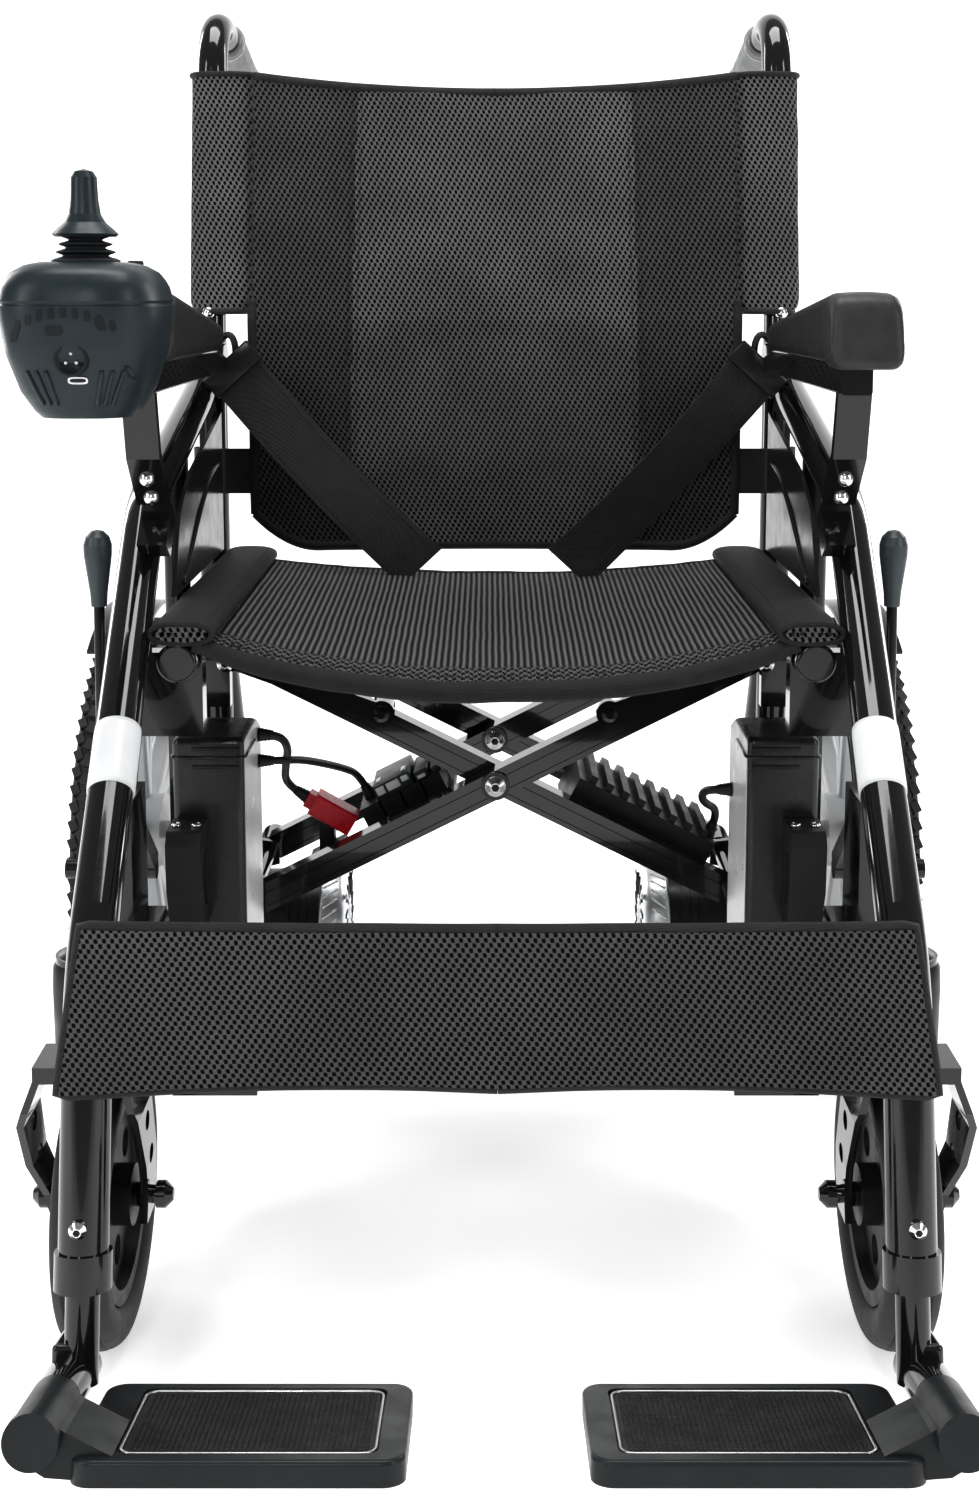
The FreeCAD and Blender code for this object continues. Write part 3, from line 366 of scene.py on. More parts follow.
NODE_FINISH = {
    "side_frame": "paint", "frame_bolts": "chrome", "battery_case": "battery",
    "battery_handle": "black_plastic", "drive_motor": "motor", "side_guard": "gloss_plastic",
    "brake_lever": "lever", "rear_rim": "rim", "caster_fork": "paint",
    "caster_hub": "black_plastic", "footrest_tube": "paint", "footplate": "plate",
    "seat_rail": "paint", "fold_link": "paint", "armrest_frame": "paint", "cross_brace_a": "paint",
    "cross_brace_b": "paint", "brace_centre_bolts": "washer_and_head", "joystick_gimbal": "slate_dark",
    "joystick_knob": "slate", "power_button": "slate", "speed_down_button": "slate",
    "speed_up_button": "slate", "horn_button": "slate", "motor_controller": "black_plastic",
    "lead_connectors": "black_plastic", "power_connector": "red",
}
for node_name, node in frame["nodes"].items():
    finish_name = NODE_FINISH.get(node_name) or NODE_FINISH.get(node_name.split("_", 1)[1], "black_plastic")
    node.data.materials.clear()
    node.data.materials.append(MATERIALS[finish_name])


# ---- mesh helpers ----
def piece(name, shape, material, body=None, smooth=True):
    """A new object out of a shape, which is a pair: its points and its faces."""
    points, faces = shape
    mesh = bpy.data.meshes.new(name)
    mesh.from_pydata([tuple(p) for p in points], [], faces)
    mesh.materials.append(MATERIALS[material])
    cleaned = bmesh.new()
    cleaned.from_mesh(mesh)
    bmesh.ops.recalc_face_normals(cleaned, faces=cleaned.faces)
    cleaned.to_mesh(mesh)
    cleaned.free()
    for polygon in mesh.polygons:
        polygon.use_smooth = smooth
    made = bpy.data.objects.new(name, mesh)
    bpy.context.scene.collection.objects.link(made)
    if body:
        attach(made, body)
    return made


def apply(made, kind, **settings):
    """Adds a modifier and bakes it into the mesh."""
    modifier = made.modifiers.new(kind.lower(), kind)
    for key, value in settings.items():
        setattr(modifier, key, value)
    graph = bpy.context.evaluated_depsgraph_get()
    mesh = bpy.data.meshes.new_from_object(made.evaluated_get(graph))
    made.modifiers.clear()
    mesh.set_sharp_from_angle(angle=math.radians(50))
    old = made.data
    made.data = mesh
    bpy.data.meshes.remove(old)
    return made


def bevelled(name, shape, material, body, width, segments=2, smooth=True):
    """A piece with rounded edges; width is in mm."""
    made = piece(name, shape, material, smooth=smooth)
    apply(made, "BEVEL", width=width / 1000, segments=segments)
    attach(made, body)
    return made


def frames_along(points):
    """Two steady sideways directions at each point of a line (parallel transport)."""
    ways = []
    for i in range(len(points)):
        before = points[max(i - 1, 0)]
        after = points[min(i + 1, len(points) - 1)]
        ways.append((after - before).normalized())
    first = Vector((0, 0, 1)) if abs(ways[0].z) < 0.9 else Vector((1, 0, 0))
    side = (first - ways[0] * first.dot(ways[0])).normalized()
    result = []
    for way in ways:
        side = (side - way * side.dot(way)).normalized()
        result.append((side, way.cross(side)))
    return result


def band_faces(around, bands=1):
    """Quads between neighbouring rings of points that each have the same count."""
    faces = []
    for i in range(bands):
        for k in range(around):
            a, b = i * around + k, i * around + (k + 1) % around
            faces.append((a, b, b + around, a + around))
    return faces


def capped_faces(around, rings):
    """Quads between neighbouring rings, and a face on the first and the last ring."""
    last = around * (rings - 1)
    return band_faces(around, rings - 1) + [tuple(range(around))[::-1], tuple(range(last, last + around))]


BOX_FACES = capped_faces(4, 2)
CORNERS = ((-1, -1), (1, -1), (1, 1), (-1, 1))


def turns_of(count):
    """Evenly spaced angles round one turn, without the closing one."""
    return [2 * math.pi * k / count for k in range(count)]


def tube_parts(points, radius, sides=14, flat=1.0):
    """A capped tube; radius is a number or one per point."""
    radii = radius if isinstance(radius, (list, tuple)) else [radius] * len(points)
    verts = []
    for point, r, (side, up) in zip(points, radii, frames_along(points)):
        for turn in turns_of(sides):
            verts.append(point + side * r * math.cos(turn) + up * r * flat * math.sin(turn))
    return verts, capped_faces(sides, len(points))


def tube(name, points, radius, material, body=None, sides=14, flat=1.0):
    return piece(name, tube_parts(points, radius, sides, flat), material, body)


def joined(parts):
    """One list of points and faces out of several."""
    verts, faces = [], []
    for part_verts, part_faces in parts:
        start = len(verts)
        verts += part_verts
        faces += [tuple(start + i for i in face) for face in part_faces]
    return verts, faces


def block_parts(corner_low, corner_high):
    (x0, y0, z0), (x1, y1, z1) = corner_low, corner_high
    verts = [at(x, y, z) for z in (z0, z1) for x, y in ((x0, y0), (x1, y0), (x1, y1), (x0, y1))]
    return verts, BOX_FACES


def sheet_parts(point, columns, rows):
    """A grid of point(u, v), u and v from 0 to 1."""
    verts = [point(c / columns, r / rows) for r in range(rows + 1) for c in range(columns + 1)]
    wide = columns + 1
    faces = [(r * wide + c, r * wide + c + 1, (r + 1) * wide + c + 1, (r + 1) * wide + c)
             for r in range(rows) for c in range(columns)]
    return verts, faces


def fabric_sheet(name, point, columns, rows, material, thickness, offset):
    """A sheet of cloth; thickness is in mm, and offset says on which side of the grid it grows."""
    made = piece(name, sheet_parts(point, columns, rows), material)
    return apply(made, "SOLIDIFY", thickness=thickness / 1000, offset=offset)


def lathe_parts(outline, centre, turns=48, axis="X", closed=False):
    """Turns (distance along the axis, radius) points about an axis through centre, in mm."""
    verts, faces = [], []
    for a in turns_of(turns):
        for d, r in outline:
            one, two = r * math.cos(a), r * math.sin(a)
            offset = {"X": (d, one, two), "Y": (one, d, two), "Z": (one, two, d)}[axis]
            verts.append(centre + Vector(offset) / 1000)
    count = len(outline)
    for k in range(turns):
        n = (k + 1) % turns
        for i in range(count if closed else count - 1):
            j = (i + 1) % count
            faces.append((k * count + i, k * count + j, n * count + j, n * count + i))
    return verts, faces


def lathe(name, outline, centre, turns, material, body=None, axis="X", closed=False):
    return piece(name, lathe_parts(outline, centre, turns, axis, closed), material, body)


def rounded(angle, power):
    """Across and up on a unit circle pressed toward a square; the lower the power, the squarer."""
    values = (math.cos(angle), math.sin(angle))
    return tuple(math.copysign(abs(value) ** power, value) for value in values)


def smooth_path(points, order=3, steps=10):
    """Points along a smooth NURBS line through the route's own points (metres)."""
    curve = bpy.data.curves.new("route", "CURVE")
    curve.dimensions = "3D"
    curve.resolution_u = steps
    spline = curve.splines.new("NURBS")
    spline.points.add(len(points) - 1)
    for target, p in zip(spline.points, points):
        target.co = (*p, 1)
    spline.order_u = order
    spline.use_endpoint_u = True
    holder = bpy.data.objects.new("route", curve)
    bpy.context.scene.collection.objects.link(holder)
    graph = bpy.context.evaluated_depsgraph_get()
    line = bpy.data.meshes.new_from_object(holder.evaluated_get(graph))
    result = [v.co.copy() for v in line.vertices]
    bpy.data.meshes.remove(line)
    bpy.data.objects.remove(holder)
    bpy.data.curves.remove(curve)
    return result


def stitches(name, line, body=None):
    """A row of thread stitches lying along a line of points."""
    length, gap, radius = 3.2, 1.6, 0.35
    parts = []
    travelled, next_start = 0.0, 0.0
    pitch = (length + gap) / 1000
    for a, b in zip(line, line[1:]):
        span = (b - a).length
        while next_start < travelled + span - 1e-9:
            start = a.lerp(b, (next_start - travelled) / span)
            way = (b - a).normalized()
            middle = start + way * length / 2000
            parts.append(tube_parts([start, middle, start + way * length / 1000],
                                    [radius / 2000, radius / 1000, radius / 2000], 5))
            next_start += pitch
        travelled += span
    return piece(name, joined(parts), "thread", body)


def narrowing(made, side):
    """Rides on the side frame, with a mesh of its own."""
    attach(made, side + "_frame")
    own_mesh(made)
    return made


# ---- seat ----
PANEL_HALF = 197.0         # half the ribbed panel; cloth rolls cover the rails beyond it
SEAT_SAG = 31.0            # drop of the front edge at the middle
PANEL_THICK = 6.0
ROLL_X, ROLL_Z = 207.0, 476.4
ROLL_HALF, ROLL_HIGH = 21.0, 6.6
ROLL_FRONT = 114.5


def seat_height(x, depth):
    """Top of the sling: level with the rails at the sides, and lowest at the front middle."""
    toward_rear = max(0.0, (depth - SEAT_FRONT) / (SEAT_REAR - SEAT_FRONT))
    sag = SEAT_SAG * (1 - 0.6 * toward_rear ** 0.8)
    across = min(1.0, abs(x) / PANEL_HALF)
    ripple = 1.6 * noise.noise(Vector((x / 60, depth / 90, 3.1)))
    return 472.5 - sag * (1 - across ** 2.3) + ripple * (1 - across ** 4)


def seat_front_edge(x):
    """The front hem is drawn back a little at the middle."""
    return SEAT_FRONT + 5.0 * (1 - (x / PANEL_HALF) ** 2)


def across_seat(made):
    """Bakes the cloth's placement into its mesh."""
    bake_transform(made)


def seat_cover():
    """The ribbed sling between the seat rails."""
    def point(u, v):
        x = (2 * u - 1) * PANEL_HALF
        front = seat_front_edge(x)
        depth = front + v * (SEAT_REAR - front)
        rib = 0.5 * math.cos(2 * math.pi * x / RIB_PITCH)
        return at(x, depth, seat_height(x, depth) + rib)

    cover = fabric_sheet("seat_cover", point, 380, 60, "seat_cloth", PANEL_THICK, -1)
    across_seat(cover)
    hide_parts("left_seat_sling", "right_seat_sling")


def seat_hem(name, edge_depth, radius, drop):
    """A rolled hem under one edge of the sling, thinner toward its ends."""
    line, radii = [], []
    for i in range(81):
        share = i / 40 - 1
        x = share * (PANEL_HALF + 3)
        depth = edge_depth(x)
        thinner = 1 - 0.35 * share ** 6
        pucker = 0.5 * noise.noise(Vector((x / 11, 2.0, radius)))
        line.append(at(x, depth, seat_height(x, depth) - drop * thinner))
        radii.append((radius + pucker) * thinner / 1000)
    across_seat(tube(name, line, radii, "sleeve"))


def seat_hem_stitches(offset):
    """A row of stitches behind the front hem."""
    row = []
    for i in range(121):
        x = -186 + 372 * i / 120
        depth = seat_front_edge(x) + offset
        row.append(at(x, depth, seat_height(x, depth) + 0.7))
    across_seat(stitches("seat_hem_stitches_%d" % offset, row))


def roll_ring(share=1.0, steps=44):
    """Outline of the flattened cloth roll on the rail, across and up."""
    ring = []
    for i in range(steps + 1):
        across, up = rounded(2 * math.pi * i / steps, 0.8)
        ring.append((ROLL_X + ROLL_HALF * share * across, ROLL_Z + ROLL_HIGH * share * up))
    return ring


def rail_sleeve(side, sign, body):
    """Smooth cloth roll along the rail, with the layers of mesh showing at its front end."""
    outline = roll_ring()
    steps = len(outline) - 1

    def point(u, v):
        k = min(int(u * steps), steps - 1)
        f = u * steps - k
        x = outline[k][0] * (1 - f) + outline[k + 1][0] * f
        z = outline[k][1] * (1 - f) + outline[k + 1][1] * f
        depth = ROLL_FRONT + v * (SEAT_REAR - 2 - ROLL_FRONT)
        pucker = 0.7 * noise.noise(Vector((x / 12, depth / 30, sign * 2.0)))
        return at(sign * (x + pucker), depth, z + max(0.0, pucker))

    sleeve = fabric_sheet(side + "_rail_sleeve", point, 66, 80, "sleeve", 1.6, 0)
    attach(sleeve, body)
    for i, (share, back) in enumerate(((0.98, 0.0), (0.72, 0.6), (0.46, 1.6), (0.2, 1.0))):
        ring = [at(sign * x, ROLL_FRONT + back + 1.0 * noise.noise(Vector((x / 4, z / 4, i))), z)
                for x, z in roll_ring(share)]
        tube("%s_roll_layer_%d" % (side, i), ring, 0.0018, "sleeve" if i == 0 else "back_mesh", body, 8)
    for end, name in ((ROLL_FRONT + 4, "front"), (SEAT_REAR - 4, "rear")):
        ring = [at(sign * x, end, z) for x, z in roll_ring(0.97)[:-1]]
        piece(side + "_roll_%s_end" % name, (ring, [tuple(range(len(ring)))]), "back_mesh", body)
    row = [at(sign * (ROLL_X - 15), SEAT_FRONT + 6 + 4 * i, ROLL_Z + 6.2) for i in range(86)]
    stitches(side + "_seat_stitches", row, body)


seat_cover()
seat_hem("seat_front_hem", seat_front_edge, 7.4, 6.4)
seat_hem("seat_rear_hem", lambda x: SEAT_REAR, 4.4, 3.0)
seat_hem_stitches(9.0)
seat_hem_stitches(12.0)
rail_sleeve("left", -1, "brace_b")
rail_sleeve("right", 1, "brace_a")


# ---- back ----
BEND_Z, BACK_TOP, BACK_LOW = 674.0, 880.0, 482.0
BACK_HALF = 203.0          # half the width of the back panel
SLEEVE_LOW = 682.0
LEAN = math.tan(math.radians(10.0))


def cane_depth(z):
    """Middle line of the cane, which leans back above its bend."""
    return CANE_DEPTH + max(0.0, z - BEND_Z) * LEAN


def back_depth(x, z):
    """Front face of the back cloth: tight at the canes, hollow at the middle."""
    hollow = 17.0 * max(0.0, 1 - (abs(x) / 200.0) ** 2.2)
    low = max(0.0, (560 - z) / 80)
    wrinkle = 1.5 * noise.noise(Vector((x / 55, z / 38, 7.7)))
    wrinkle += 0.8 * noise.noise(Vector((x / 24, z / 60, 1.3)))
    return cane_depth(z) - 16.5 + hollow + 2.0 * low + wrinkle


def seam_x(z):
    """The seam between the middle and the side panel leans in toward the top."""
    return 124.0 - 8.0 * (z - BACK_LOW) / (BACK_TOP - BACK_LOW)


def back_edge_top(x):
    """Upper edge of the panel, lowest at the middle."""
    return BACK_TOP - 2 - 12.0 * (1 - (x / 205) ** 2)


def back_edge_low(x):
    """Lower edge of the panel, drawn up at the canes."""
    return BACK_LOW + 26.0 * max(0.0, (x - 150) / 50) ** 2


def back_panel(side, sign):
    """Half of the back cloth: two tones of mesh that meet at the seam."""
    def point(u, v):
        x = u * BACK_HALF
        z = back_edge_low(x) + v * (back_edge_top(x) - back_edge_low(x))
        groove = 1.3 * math.exp(-((x - seam_x(z)) / 2.2) ** 2)
        crown = 1.4 * math.sin(math.pi * min(1.0, x / seam_x(z))) if x < seam_x(z) else 0.0
        return at(sign * x, back_depth(x, z) + groove - crown, z)

    panel = piece(side + "_back_panel", sheet_parts(point, 110, 130), "back_mesh")
    panel.data.materials.append(MATERIALS["back_side_mesh"])
    for polygon in panel.data.polygons:
        centre = polygon.center
        if abs(centre.x) * 1000 > seam_x(centre.z * 1000):
            polygon.material_index = 1
    apply(panel, "SOLIDIFY", thickness=0.005, offset=1)
    narrowing(panel, side)
    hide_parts(side + "_back_sling")


def back_sleeve(side, sign):
    """Mesh sleeve round the upper cane, hemmed at both ends."""
    foot = 0.06                # share of the height over which the lower end is drawn in

    def point(u, v):
        a = 2 * math.pi * u
        z = SLEEVE_LOW + v * (BACK_TOP - SLEEVE_LOW)
        corner = math.sqrt(max(0.0, 1 - ((foot - v) / foot) ** 2)) if v < foot else 1.0
        x = 230.0 + 27.0 * (0.8 + 0.2 * corner) * rounded(a, 0.8)[0]
        y = cane_depth(z) + 17.0 * rounded(a, 0.9)[1]
        pucker = 1.0 * noise.noise(Vector((x / 16, z / 30, sign * 4.0)))
        return at(sign * (x + pucker), y + pucker, z)

    body = side + "_frame"
    sleeve = fabric_sheet(side + "_back_sleeve", point, 56, 60, "back_mesh", 2.5, -1)
    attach(sleeve, body)
    for v, z in ((0.0, SLEEVE_LOW), (1.0, BACK_TOP)):
        ring = [point(i / 40, v) for i in range(41)]
        tube("%s_back_sleeve_hem_%d" % (side, z), ring, 0.0024, "tape", body, 8)


def back_bindings(side, sign):
    """Piping along the lower and upper edges, and tape along the outer edge."""
    def border(name, radius, places, lift=0.0):
        line = [at(sign * x, back_depth(x, z) + 2.5, z + lift) for x, z in places]
        made = tube(side + name, line, radius / 1000, "tape", sides=10)
        narrowing(made, side)

    across = [BACK_HALF * i / 59 for i in range(60)]
    border("_back_low_piping", 4.6, [(x, back_edge_low(x)) for x in across], 1.0)
    border("_back_top_piping", 4.2, [(x, back_edge_top(x)) for x in across])
    low = back_edge_low(BACK_HALF)
    rise = SLEEVE_LOW - low + 10
    border("_back_side_binding", 4.4, [(BACK_HALF, low + rise * i / 69) for i in range(70)])


def back_tab(side, sign):
    """Cloth tab from the panel's edge round the front of the cane."""
    low, height, radius = 529, 38, 15.2

    def point(u, v):
        z = low + height * v
        if u < 0.5:
            return at(sign * (198 + 42 * u * 2), cane_depth(z) - 15.0, z)
        a = math.pi * (u - 0.5) * 2
        return at(sign * (CANE_X + radius * math.sin(a)), cane_depth(z) - radius * math.cos(a), z)

    tab = fabric_sheet(side + "_back_tab", point, 40, 10, "tape", 2.2, 0)
    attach(tab, side + "_frame")


def back_stitches(side, sign):
    """Two rows beside the seam, and one row down the sleeve."""
    low, high = 492, BACK_TOP - 20
    for offset in (-4.0, 4.0):
        row = []
        for i in range(96):
            z = low + (high - low) * i / 95
            x = seam_x(z) + offset
            row.append(at(sign * x, back_depth(x, z) - 0.6, z))
        seam = stitches("%s_seam_stitches_%d" % (side, offset + 4), row)
        narrowing(seam, side)
    heights = [SLEEVE_LOW + 4 + 2 * i for i in range(96)]
    row = [at(sign * (BACK_HALF + 0.5), cane_depth(z) - 17.4, z) for z in heights]
    stitches(side + "_sleeve_stitches", row, side + "_frame")


for side, sign in SIDES.items():
    back_panel(side, sign)
    back_sleeve(side, sign)
    back_bindings(side, sign)
    back_tab(side, sign)
    back_stitches(side, sign)


# ---- calf strap and lap belt ----
def leg_depth(z):
    """Middle line of the leaning leg."""
    return (z - 212.0) * math.tan(LEG_LEAN) - 100.0


STRAP_LOW, STRAP_HIGH = 264.0, 350.0
STRAP_MIDDLE = 300.0       # heights below it belong to the lower edge
STRAP_HALF = 240.0


def strap_half_at(z):
    """Half width of the strap, a little less toward the top."""
    return STRAP_HALF - 11.0 * (z - STRAP_LOW) / (STRAP_HIGH - STRAP_LOW)


def strap_depth(x, z):
    """Front face of the strap: tight at the legs, slack at the middle."""
    slack = 9.0 * max(0.0, 1 - (x / 215) ** 2)
    wave = 0.9 * noise.noise(Vector((x / 50, z / 30, 5.5)))
    return leg_depth(z) - 20.0 + slack + wave


def strap_edge_low(x):
    return STRAP_LOW + 3.0 * math.sin(math.pi * x / STRAP_HALF)


def strap_edge_high(x):
    return STRAP_HIGH - 5.0 * (1 - (x / STRAP_HALF) ** 2)


def strap_band(side, sign):
    """Half of the padded mesh band across the legs."""
    def point(u, v):
        low, high = strap_edge_low(u * STRAP_HALF), strap_edge_high(u * STRAP_HALF)
        z = low + v * (high - low)
        x = u * strap_half_at(z)
        fill = 1.6 * (1 - (2 * v - 1) ** 6)
        return at(sign * x, strap_depth(x, z) - fill, z)

    strap = fabric_sheet(side + "_calf_band", point, 120, 44, "strap_mesh", 4.5, 1)
    narrowing(strap, side)
    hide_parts(side + "_calf_strap")


def strap_border():
    """Across and height along the lower edge, up the outer end and back along the upper edge."""
    steps = 60
    border = [(STRAP_HALF * i / steps, strap_edge_low(STRAP_HALF * i / steps)) for i in range(steps + 1)]
    heights = [STRAP_LOW + (STRAP_HIGH - STRAP_LOW) * i / 12 for i in range(1, 12)]
    border += [(strap_half_at(z), z) for z in heights]
    top_half = strap_half_at(STRAP_HIGH)
    for i in range(steps, -1, -1):
        border.append((top_half * i / steps, strap_edge_high(STRAP_HALF * i / steps)))
    return border


def strap_edges(side, sign):
    """Tape round the band, and a row of stitches inside each long edge."""
    border = strap_border()
    line = [at(sign * x, strap_depth(x, z) + 1.6, z) for x, z in border]
    narrowing(tube(side + "_calf_binding", line, 0.0052, "tape", sides=12),
              side)
    inset = 6.5
    rows = {"low": [], "high": []}
    for x, z in border:
        if x < STRAP_HALF - 6:
            edge, shift = ("low", inset) if z < STRAP_MIDDLE else ("high", -inset)
            rows[edge].append(at(sign * x, strap_depth(x, z) - 1.9, z + shift))
    for edge, row in rows.items():
        narrowing(stitches("%s_calf_%s_stitches" % (side, edge), row), side)


BELT_HIGH, BELT_LOW = (222.0, 640.0), (62.0, 468.0)    # across and height of the webbing's ends
BELT_WIDE = 46.0
BELT_WAY = Vector((BELT_LOW[0] - BELT_HIGH[0], 0, BELT_LOW[1] - BELT_HIGH[1])).normalized()
BELT_ACROSS = Vector((-BELT_WAY.z, 0, BELT_WAY.x))


def belt_point(sign, u, v):
    """A point of the webbing, u across it and v down it; it sags and twists between its ends."""
    bow = math.sin(math.pi * v)
    twist = math.radians(16) * bow * sign
    wide = (u - 0.5) * BELT_WIDE
    x = BELT_HIGH[0] + (BELT_LOW[0] - BELT_HIGH[0]) * v + BELT_ACROSS.x * wide * math.cos(twist)
    z = BELT_HIGH[1] + (BELT_LOW[1] - BELT_HIGH[1]) * v + BELT_ACROSS.z * wide * math.cos(twist)
    depth = 452.5 + wide * math.sin(twist) - 5.0 * bow
    depth += 0.4 * noise.noise(Vector((u * 3, v * 14, sign * 2.0)))
    return at(sign * x, depth, z - 5.0 * bow)


def lap_webbing(side, sign):
    """Webbing from the cane's fitting down into the gap between back and seat."""
    def point(u, v):
        return belt_point(sign, u, v)

    belt = fabric_sheet(side + "_lap_webbing", point, 16, 44, "webbing", 1.7, 0)
    narrowing(belt, side)
    if side == "left":
        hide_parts("lap_belt")
    for u in (0.09, 0.91):
        row = [point(u, i / 60) + Vector((0, -0.0010, 0)) for i in range(61)]
        edge = stitches("%s_belt_stitches_%d" % (side, u * 100), row)
        narrowing(edge, side)


def belt_fitting(side, sign):
    """Loop on the cane, and the keeper that clamps the webbing's upper end."""
    body = side + "_frame"
    loop = []
    for i in range(25):
        a = 2 * math.pi * i / 24
        x = 225 + 9 * math.cos(a) - 3 * math.sin(a)
        loop.append(at(sign * x, 460 + 4 * math.cos(a), 641 + 22 * math.sin(a)))
    tube(side + "_belt_loop", loop, 0.0028, "black_plastic", body, 10)
    verts = []
    for depth in (446.5, 450.5):
        for along, wide in ((-3, -25), (17, -26), (17, 26), (-3, 25)):
            x = BELT_HIGH[0] + BELT_WAY.x * along + BELT_ACROSS.x * wide
            z = BELT_HIGH[1] + BELT_WAY.z * along + BELT_ACROSS.z * wide
            verts.append(at(sign * x, depth + 0.02 * along, z))
    bevelled(side + "_belt_keeper", (verts, BOX_FACES), "gloss_plastic", body, 1.6, 3)


for side, sign in SIDES.items():
    strap_band(side, sign)
    strap_edges(side, sign)
    lap_webbing(side, sign)
    belt_fitting(side, sign)


# ---- tyres ----
TREAD_ROWS = (-21.5, -11.5, 0.0, 11.5, 21.5)
BLOCKS_PER_ROW = 80


def tread_block(centre, row, turn):
    """One slanted block; the rows slant in turns to the left and to the right."""
    d = TREAD_ROWS[row]
    outer = 180 + 20 * math.sqrt(1 - (d / 26.4) ** 2)
    tip = 0.6 * math.atan2(d, 26)
    slant = math.radians(24) * (1 if row % 2 else -1)
    verts = []
    for height, grow in ((-9.0, 1.25), (-1.0, 1.0), (0.0, 0.86)):
        for sx, st in CORNERS:
            wide, long = 4.2 * grow * sx, 5.0 * grow * st
            across = wide * math.cos(slant) - long * math.sin(slant)
            around = wide * math.sin(slant) + long * math.cos(slant)
            x = d + across * math.cos(tip) + height * math.sin(tip)
            r = outer + height * math.cos(tip) - abs(across) * 0.08
            a = turn + around / outer
            verts.append(centre + Vector((x, r * math.cos(a), r * math.sin(a))) / 1000)
    return verts, capped_faces(4, 3)


def rear_tyre(side, sign):
    """Carcass with five staggered rows of tread blocks, and thin lines on its walls."""
    centre = at(sign * WHEEL_X, AXLE_DEPTH, WHEEL_R)
    wheel = side + "_wheel"
    profile = [(-18.7, 158.2), (-24.5, 166), (-26, 176)]
    profile += [(-26 * math.cos(math.pi * i / 14), 180 + 14 * math.sin(math.pi * i / 14)) for i in range(15)]
    profile += [(26, 176), (24.5, 166), (18.7, 158.2)]
    tyre = lathe(side + "_tyre_carcass", profile, centre, 96, "tread", wheel, closed=True)
    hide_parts(side + "_rear_tyre")
    blocks = []
    for row in range(len(TREAD_ROWS)):
        for k in range(BLOCKS_PER_ROW):
            turn = 2 * math.pi * (k + 0.5 * (row % 2)) / BLOCKS_PER_ROW
            blocks.append(tread_block(centre, row, turn))
    piece(side + "_tyre_tread", joined(blocks), "tread", wheel, smooth=False)
    for d, r in ((-25.4, 171.0), (25.4, 171.0), (-24.2, 165.0), (24.2, 165.0)):
        ring = [centre + Vector((d, r * math.cos(t), r * math.sin(t))) / 1000 for t in turns_of(96)]
        ring.append(ring[0])
        tube("%s_tyre_wall_line_%d_%d" % (side, d + 50, r), ring, 0.0008, "tread", wheel, 6)


def caster_tyre(side, sign):
    """Solid tyre with four grooves round the tread."""
    centre = at(sign * CASTER_X, CASTER_DEPTH, CASTER_R)
    profile = [(-13, 70.2), (-17.2, 76)]
    steps = 64
    for i in range(steps + 1):
        a = math.pi * i / steps
        d, r = -18 * math.cos(a), 85 + 12 * math.sin(a) ** 0.8
        for groove in (-9.0, -3.0, 3.0, 9.0):
            r -= 2.2 * math.exp(-((d - groove) / 0.75) ** 4)
        profile.append((d, r))
    profile += [(17.2, 76), (13, 70.2)]
    tyre = lathe(side + "_caster_rubber", profile, centre, 96, "tread", side + "_caster_wheel",
                 closed=True)
    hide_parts(side + "_caster_tyre")


for side, sign in SIDES.items():
    rear_tyre(side, sign)
    caster_tyre(side, sign)


# ---- push grips ----
def push_grip(side, sign):
    """Ribbed rubber grip on the rear-pointing end of the cane."""
    bend = Vector((CANE_X, CANE_DEPTH + 46, 935))
    end = Vector((CANE_X, CANE_DEPTH + 235, 897))
    way = (end - bend).normalized()
    start = bend + way * 72
    length = (end - start).length + 6
    line, radii = [], []
    steps = 150
    for i in range(steps + 1):
        s = length * i / steps
        p = start + way * s
        line.append(at(sign * p.x, p.y, p.z))
        r = 15.2 + 0.9 * abs(math.sin(math.pi * s / 5.2)) if 12 < s < length - 14 else 16.2
        if s < 3 or s > length - 3:
            r -= 2.0 * (1 - min(s, length - s) / 3)
        if 6 < s < 9 or length - 13 < s < length - 10:
            r = 17.0
        radii.append(r / 1000)
    grip = tube(side + "_hand_grip", line, radii, "grip", side + "_frame", 28)
    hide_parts(side + "_push_grip")


for side, sign in SIDES.items():
    push_grip(side, sign)


# ---- details on the side frames ----
def tube_point(share):
    """A point on the straight run of the main tube; 0 is at the leg bend."""
    low, high = Vector((LEG_X, leg_depth(318), 318)), Vector((FRAME_X, 222, 552))
    return low.lerp(high, share)


def reflection_sleeve(side, sign):
    """White sleeve round the main tube, a painted reflection on the glossy paint."""
    places = [tube_point(0.33 + 0.13 * i / 12) for i in range(13)]
    line = [at(sign * p.x, p.y, p.z) for p in places]
    radii = [0.01445] + [0.01475] * 11 + [0.01445]
    tube(side + "_reflection_sleeve", line, radii, "white", side + "_frame", 40)


def caster_cover(side, sign):
    """Domed cover over the caster's bearing housing."""
    dome = [(222, 19.4), (224, 20.8), (262, 21.2), (274, 20.6), (281, 17), (285, 11), (286.5, 4),
            (286.6, 0.2)]
    centre = at(sign * CASTER_X, STEM_DEPTH, 0)
    lathe(side + "_caster_cover", dome, centre, 40, "black_plastic", side + "_frame", "Z")


def battery_ribs(side, sign):
    """Three raised ribs on the front of the battery."""
    x0, x1 = sorted((sign * 180, sign * 214))
    front = BATTERY_FRONT + 0.6
    ribs = [block_parts((x0, front - 2, z), (x1, front, z + 2.6)) for z in (366, 372.5, 379)]
    bevelled(side + "_battery_ribs", joined(ribs), "black_plastic", side + "_frame", 0.8, smooth=False)


